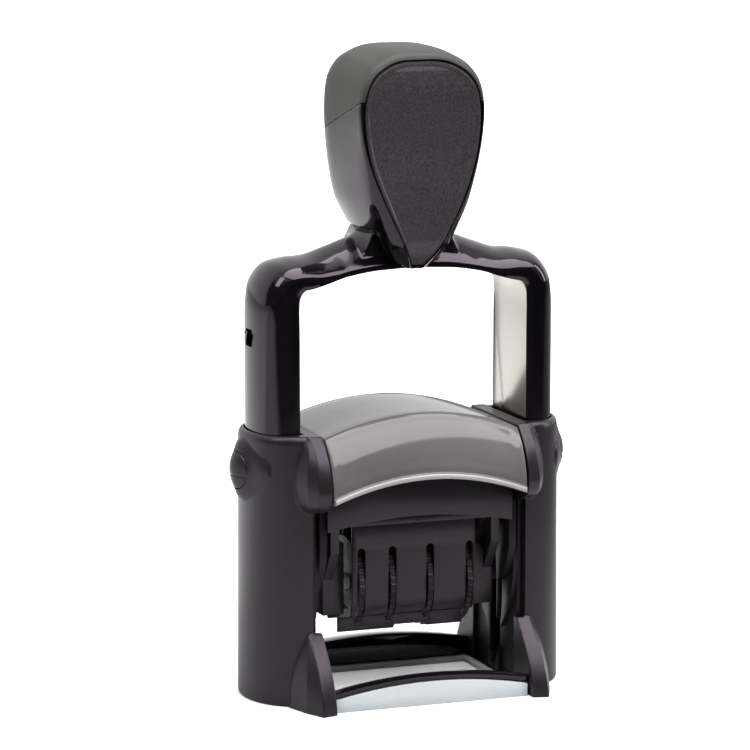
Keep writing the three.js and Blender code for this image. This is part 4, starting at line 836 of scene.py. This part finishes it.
def fin(sign):
    """The foot that runs out beside the base bar."""
    rows = []
    for i in range(13):
        share = 0.985 if i == 12 else math.sin(i / 12 * math.pi / 2)
        depth = FIN_DEPTH * (1 - share ** 1.7)
        outer = COLUMN_X + FIN_WIDTH * (0.2 + 0.8 * (1 - share ** 2.3))
        ridge = min(COLUMN_X + FIN_RIDGE * (1 - 0.4 * share), outer)
        rows.append((share * FIN_HEIGHT, depth, outer, ridge, 0.92, 0.56, 0))
    return side_piece("fin", rows, sign)


def boss_x(y, z):
    """The nose's surface, lifted a little towards its rim so that the boss stands clear of the column."""
    reach = math.hypot(y / BOSS_Y, (z - BUTTON_Z) / BOSS_Z)
    return nose_x(y, z) + BOSS_LIFT * smoothstep(0.55, 0.92, reach)


def make_columns():
    """A column merged from its parts, with the leg's room, the axle's slot, the button's bore and the
    spring's post, and its mirror image."""
    boss = nose_solid("boss", BOSS_Y, BOSS_Z, [(1, BOW_OUTER - 3.2)], boss_x)
    low, high = [COLUMN_Z + rise for rise in DECK_Z]
    deck = box_of("deck", SIDE_INNER_X, COLUMN_X + DECK_WIDTH, -DECK_Y, DECK_Y, low, high)
    pieces = [column_shell(), wing(1), wing(-1), fin(1), fin(-1), boss, deck]
    column = merged("column", pieces, voxel=0.2, passes=3)
    room = rounded_side(COLUMN_X + COLUMN_WALL, LEG_X + LEG_FLAT * LEG_W, BOW_OUTER + LEG_GAP,
                        LEG_Y + LEG_GAP)
    cut(column, skin("room", [[(x, y, z) for x, y in room] for z in (COLUMN_FLOOR, COLUMN_Z + 2)]))
    near, far = [COLUMN_X + reach for reach in AXLE_SLOT_X]
    cut(column, box_of("slot", near, far, -AXLE_SLOT_Y, AXLE_SLOT_Y, COLUMN_FLOOR, AXLE_SLOT_TOP))
    bore = [oval(BUTTON_BORE_Y, BUTTON_BORE_Z, lambda y, z, x=x: x) for x in (BOW_OUTER - 1, BOSS_TIP + 2)]
    cut(column, skin("bore", bore))
    cut(column, skin("post", [circle(SPRING_X, radius, z, 32) for radius, z in SPRING_POST]), "UNION")
    shaded(column, 40)
    dress(mirror_x(column, "left"), "left_column")
    dress(column, "right_column")


def button_x(y, z):
    """The boss's surface, with a finger edge across its lower third."""
    edge_z = BUTTON_Z - GROOVE_DROP
    groove = GROOVE_DEPTH * math.exp(-(((z - edge_z) / GROOVE_WIDTH) ** 2))
    return nose_x(y, z) - groove


def make_buttons():
    """The lock buttons with their stems, flush with the bosses and chamfered at the rim."""
    stem, seat = BOW_OUTER + STEM_GAP, BOW_OUTER + SEAT_GAP
    steps = [(STEM_SHARE, stem), (STEM_SHARE, seat), (1, seat)]
    shares = [1, 0.985, 0.96] + [0.96 * (1 - i / 30) for i in range(1, 30)] + [0.01]

    def surface(y, z):
        reach = math.hypot(y / BUTTON_HALF_Y, (z - BUTTON_Z) / BUTTON_HALF_Z)
        return button_x(y, z) - CHAMFER * max(0, (reach - CHAMFER_FROM) / 0.045) ** 2

    button = shaded(nose_solid("button", BUTTON_HALF_Y, BUTTON_HALF_Z, steps, surface, shares), 50)
    dress(mirror_x(button, "left"), "left_lock_button")
    dress(button, "right_lock_button")


make_columns()
make_buttons()


# Index cover

COVER_LIP_Y, COVER_EDGE_Y, COVER_LOW_Z = 20.3, 14.3, 50.0
COVER_WALL, DOME = 1.4, 0.28
BEAD, SEAM_WIDTH, SEAM_DEPTH = 0.53, 0.5, 0.4
PANEL_RECESS, PANEL_EDGE = 0.16, (1.7, 1.2)   # the sloping panel's depth, and where it fades at the ends
LIP_Y, LIP_Z, LIP_HALF_Y, LIP_HALF_Z = 20.45, 50.65, 0.5, 0.6


def top_curve(edge, edge_z):
    """The cover's domed top, from its edge to just before the middle."""
    return [(edge * (1 - i / 6), edge_z + DOME * (1 - (1 - i / 6) ** 2)) for i in range(1, 6)]


def cover_half(inset, recess):
    """Half of the cover's section, from the lip up to the middle of the top."""
    lip, edge, top, low = COVER_LIP_Y - inset, COVER_EDGE_Y - 0.6 * inset, COVER_Z - inset, COVER_LOW_Z
    rise = COVER_Z - low
    bead_top, edge_z = low + 0.11 * rise, top - 0.02 * rise
    side = bezier((lip, bead_top), (lip - 0.1 * inset, low + 0.5 * rise),
                  (edge + 0.16 * rise, top - 0.12 * rise), (edge, edge_z), 22)
    if inset:
        return [(lip, low)] + side + top_curve(edge, edge_z)
    panel = []
    for i, (y, z) in enumerate(side):
        deep = recess * smoothstep(1, 2, i) * (1 - smoothstep(17, 18, i))
        panel.append((y - deep, z - 0.4 * deep))
    bead = bezier((lip, low), (lip + BEAD, low), (lip + BEAD, bead_top), (lip, bead_top), 9)
    inside, seam_z = edge - SEAM_WIDTH, edge_z - SEAM_DEPTH
    seam = [(edge, seam_z), (inside, seam_z), (inside, edge_z)]
    return [(lip, low)] + bead + panel + seam + top_curve(inside, edge_z)


def make_cover():
    """The arched hood, and a rod along each of its lips whose pale colour is a painted highlight."""
    rings = []
    steps = 64
    for i in range(steps + 1):
        x = COVER_X * (2 * i / steps - 1)
        fade = smoothstep(*[COVER_X - inset for inset in PANEL_EDGE], abs(x))
        recess = PANEL_RECESS * (1 - fade)
        half, hollow = cover_half(0, recess), cover_half(COVER_WALL, 0)
        section = half + [(-y, z) for y, z in reversed(half)]
        inside = hollow + [(-y, z) for y, z in reversed(hollow)]
        drop = COVER_DROP * (x / COVER_X) ** 2
        rings.append([(x, y, z - drop) for y, z in section + list(reversed(inside))])
    cover = skin("cover", rings)
    dress(shaded(bevelled(cover, 0.14, 2, 50), 28), "index_cover")
    for sign, name in ((-1, "front"), (1, "back")):
        rings = []
        for i in range(steps + 1):
            x = (COVER_X - 0.3) * (2 * i / steps - 1)
            drop = COVER_DROP * (x / COVER_X) ** 2
            turns = [j * math.tau / 20 for j in range(20)]
            rings.append([(x, sign * (LIP_Y + LIP_HALF_Y * math.cos(t)),
                           LIP_Z - drop + LIP_HALF_Z * math.sin(t)) for t in turns])
        lip = shaded(skin(name + "_cover_lip", rings), 40)
        lip.data.materials.append(finishes["lip_painted_highlight"])
        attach(lip, body_of["index_cover"])


make_cover()


# Mechanism, from the frame's own shapes

# Edge radius of each piece in millimetres
EDGE_RADII = {
    "left_cam_plate": 0.25, "right_cam_plate": 0.25, "front_base_bar": 0.25, "back_base_bar": 0.3,
    "positioning_window": 0.18, "pad_bridge": 0.25, "index_card": 0.06, "pad_tray": 0.2, "ink_pad": 0.2,
    "steel_bow": 0.12, "carriage_frame": 0.25, "wheel_cover": 0.2, "carriage_back": 0.2, "band_bridge": 0.2,
    "wheel_shaft": 0.12, "die_plate": 0.15, "text_die": 0.12, "left_guide_pin": 0.12, "right_guide_pin": 0.12,
    "left_axle": 0.15, "right_axle": 0.15,
}


# Sill under a slot of the wheel cover: from the left side of its wheel, and in y and z
SILL_X, SILL_Y, SILL_Z = (-0.5, 1.9), (-6.95, -6.4), (14.6, 17.2)


def make_mechanism():
    """The frame's own shapes with rounded edges. Sills close the wheel cover's slots below, and each spring
    gets a mesh of its own."""
    for node, radius in EDGE_RADII.items():
        material = finishes["cam_black"] if "cam_plate" in node else None
        piece = bevelled(copied(node), radius)
        if node == "wheel_cover":
            for number in range(1, 5):
                disc_x = min(v.co.x for v in frame["nodes"][f"date_wheel_{number}"].data.vertices) / MM
                ends = [disc_x + reach for reach in SILL_X]
                cut(piece, box_of("sill", *ends, *SILL_Y, *SILL_Z), "UNION")
        dress(shaded(piece), node, material=material)
    for side in ("left", "right"):
        spring = dress(shaded(copied(side + "_return_spring"), 60), side + "_return_spring")
        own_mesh(spring)
    for number in range(1, 5):
        dress(shaded(bevelled(copied(f"date_wheel_{number}"), 0.06, 1)), f"date_wheel_{number}")
        dress(shaded(bevelled(copied(f"date_band_{number}"), 0.08)), f"date_band_{number}")


make_mechanism()

# The frame's own nodes take the finish of their slot too
for name, node in frame["nodes"].items():
    if node.data.materials:
        node.data.materials.clear()
    node.data.materials.append(finishes[slot_of[name]])
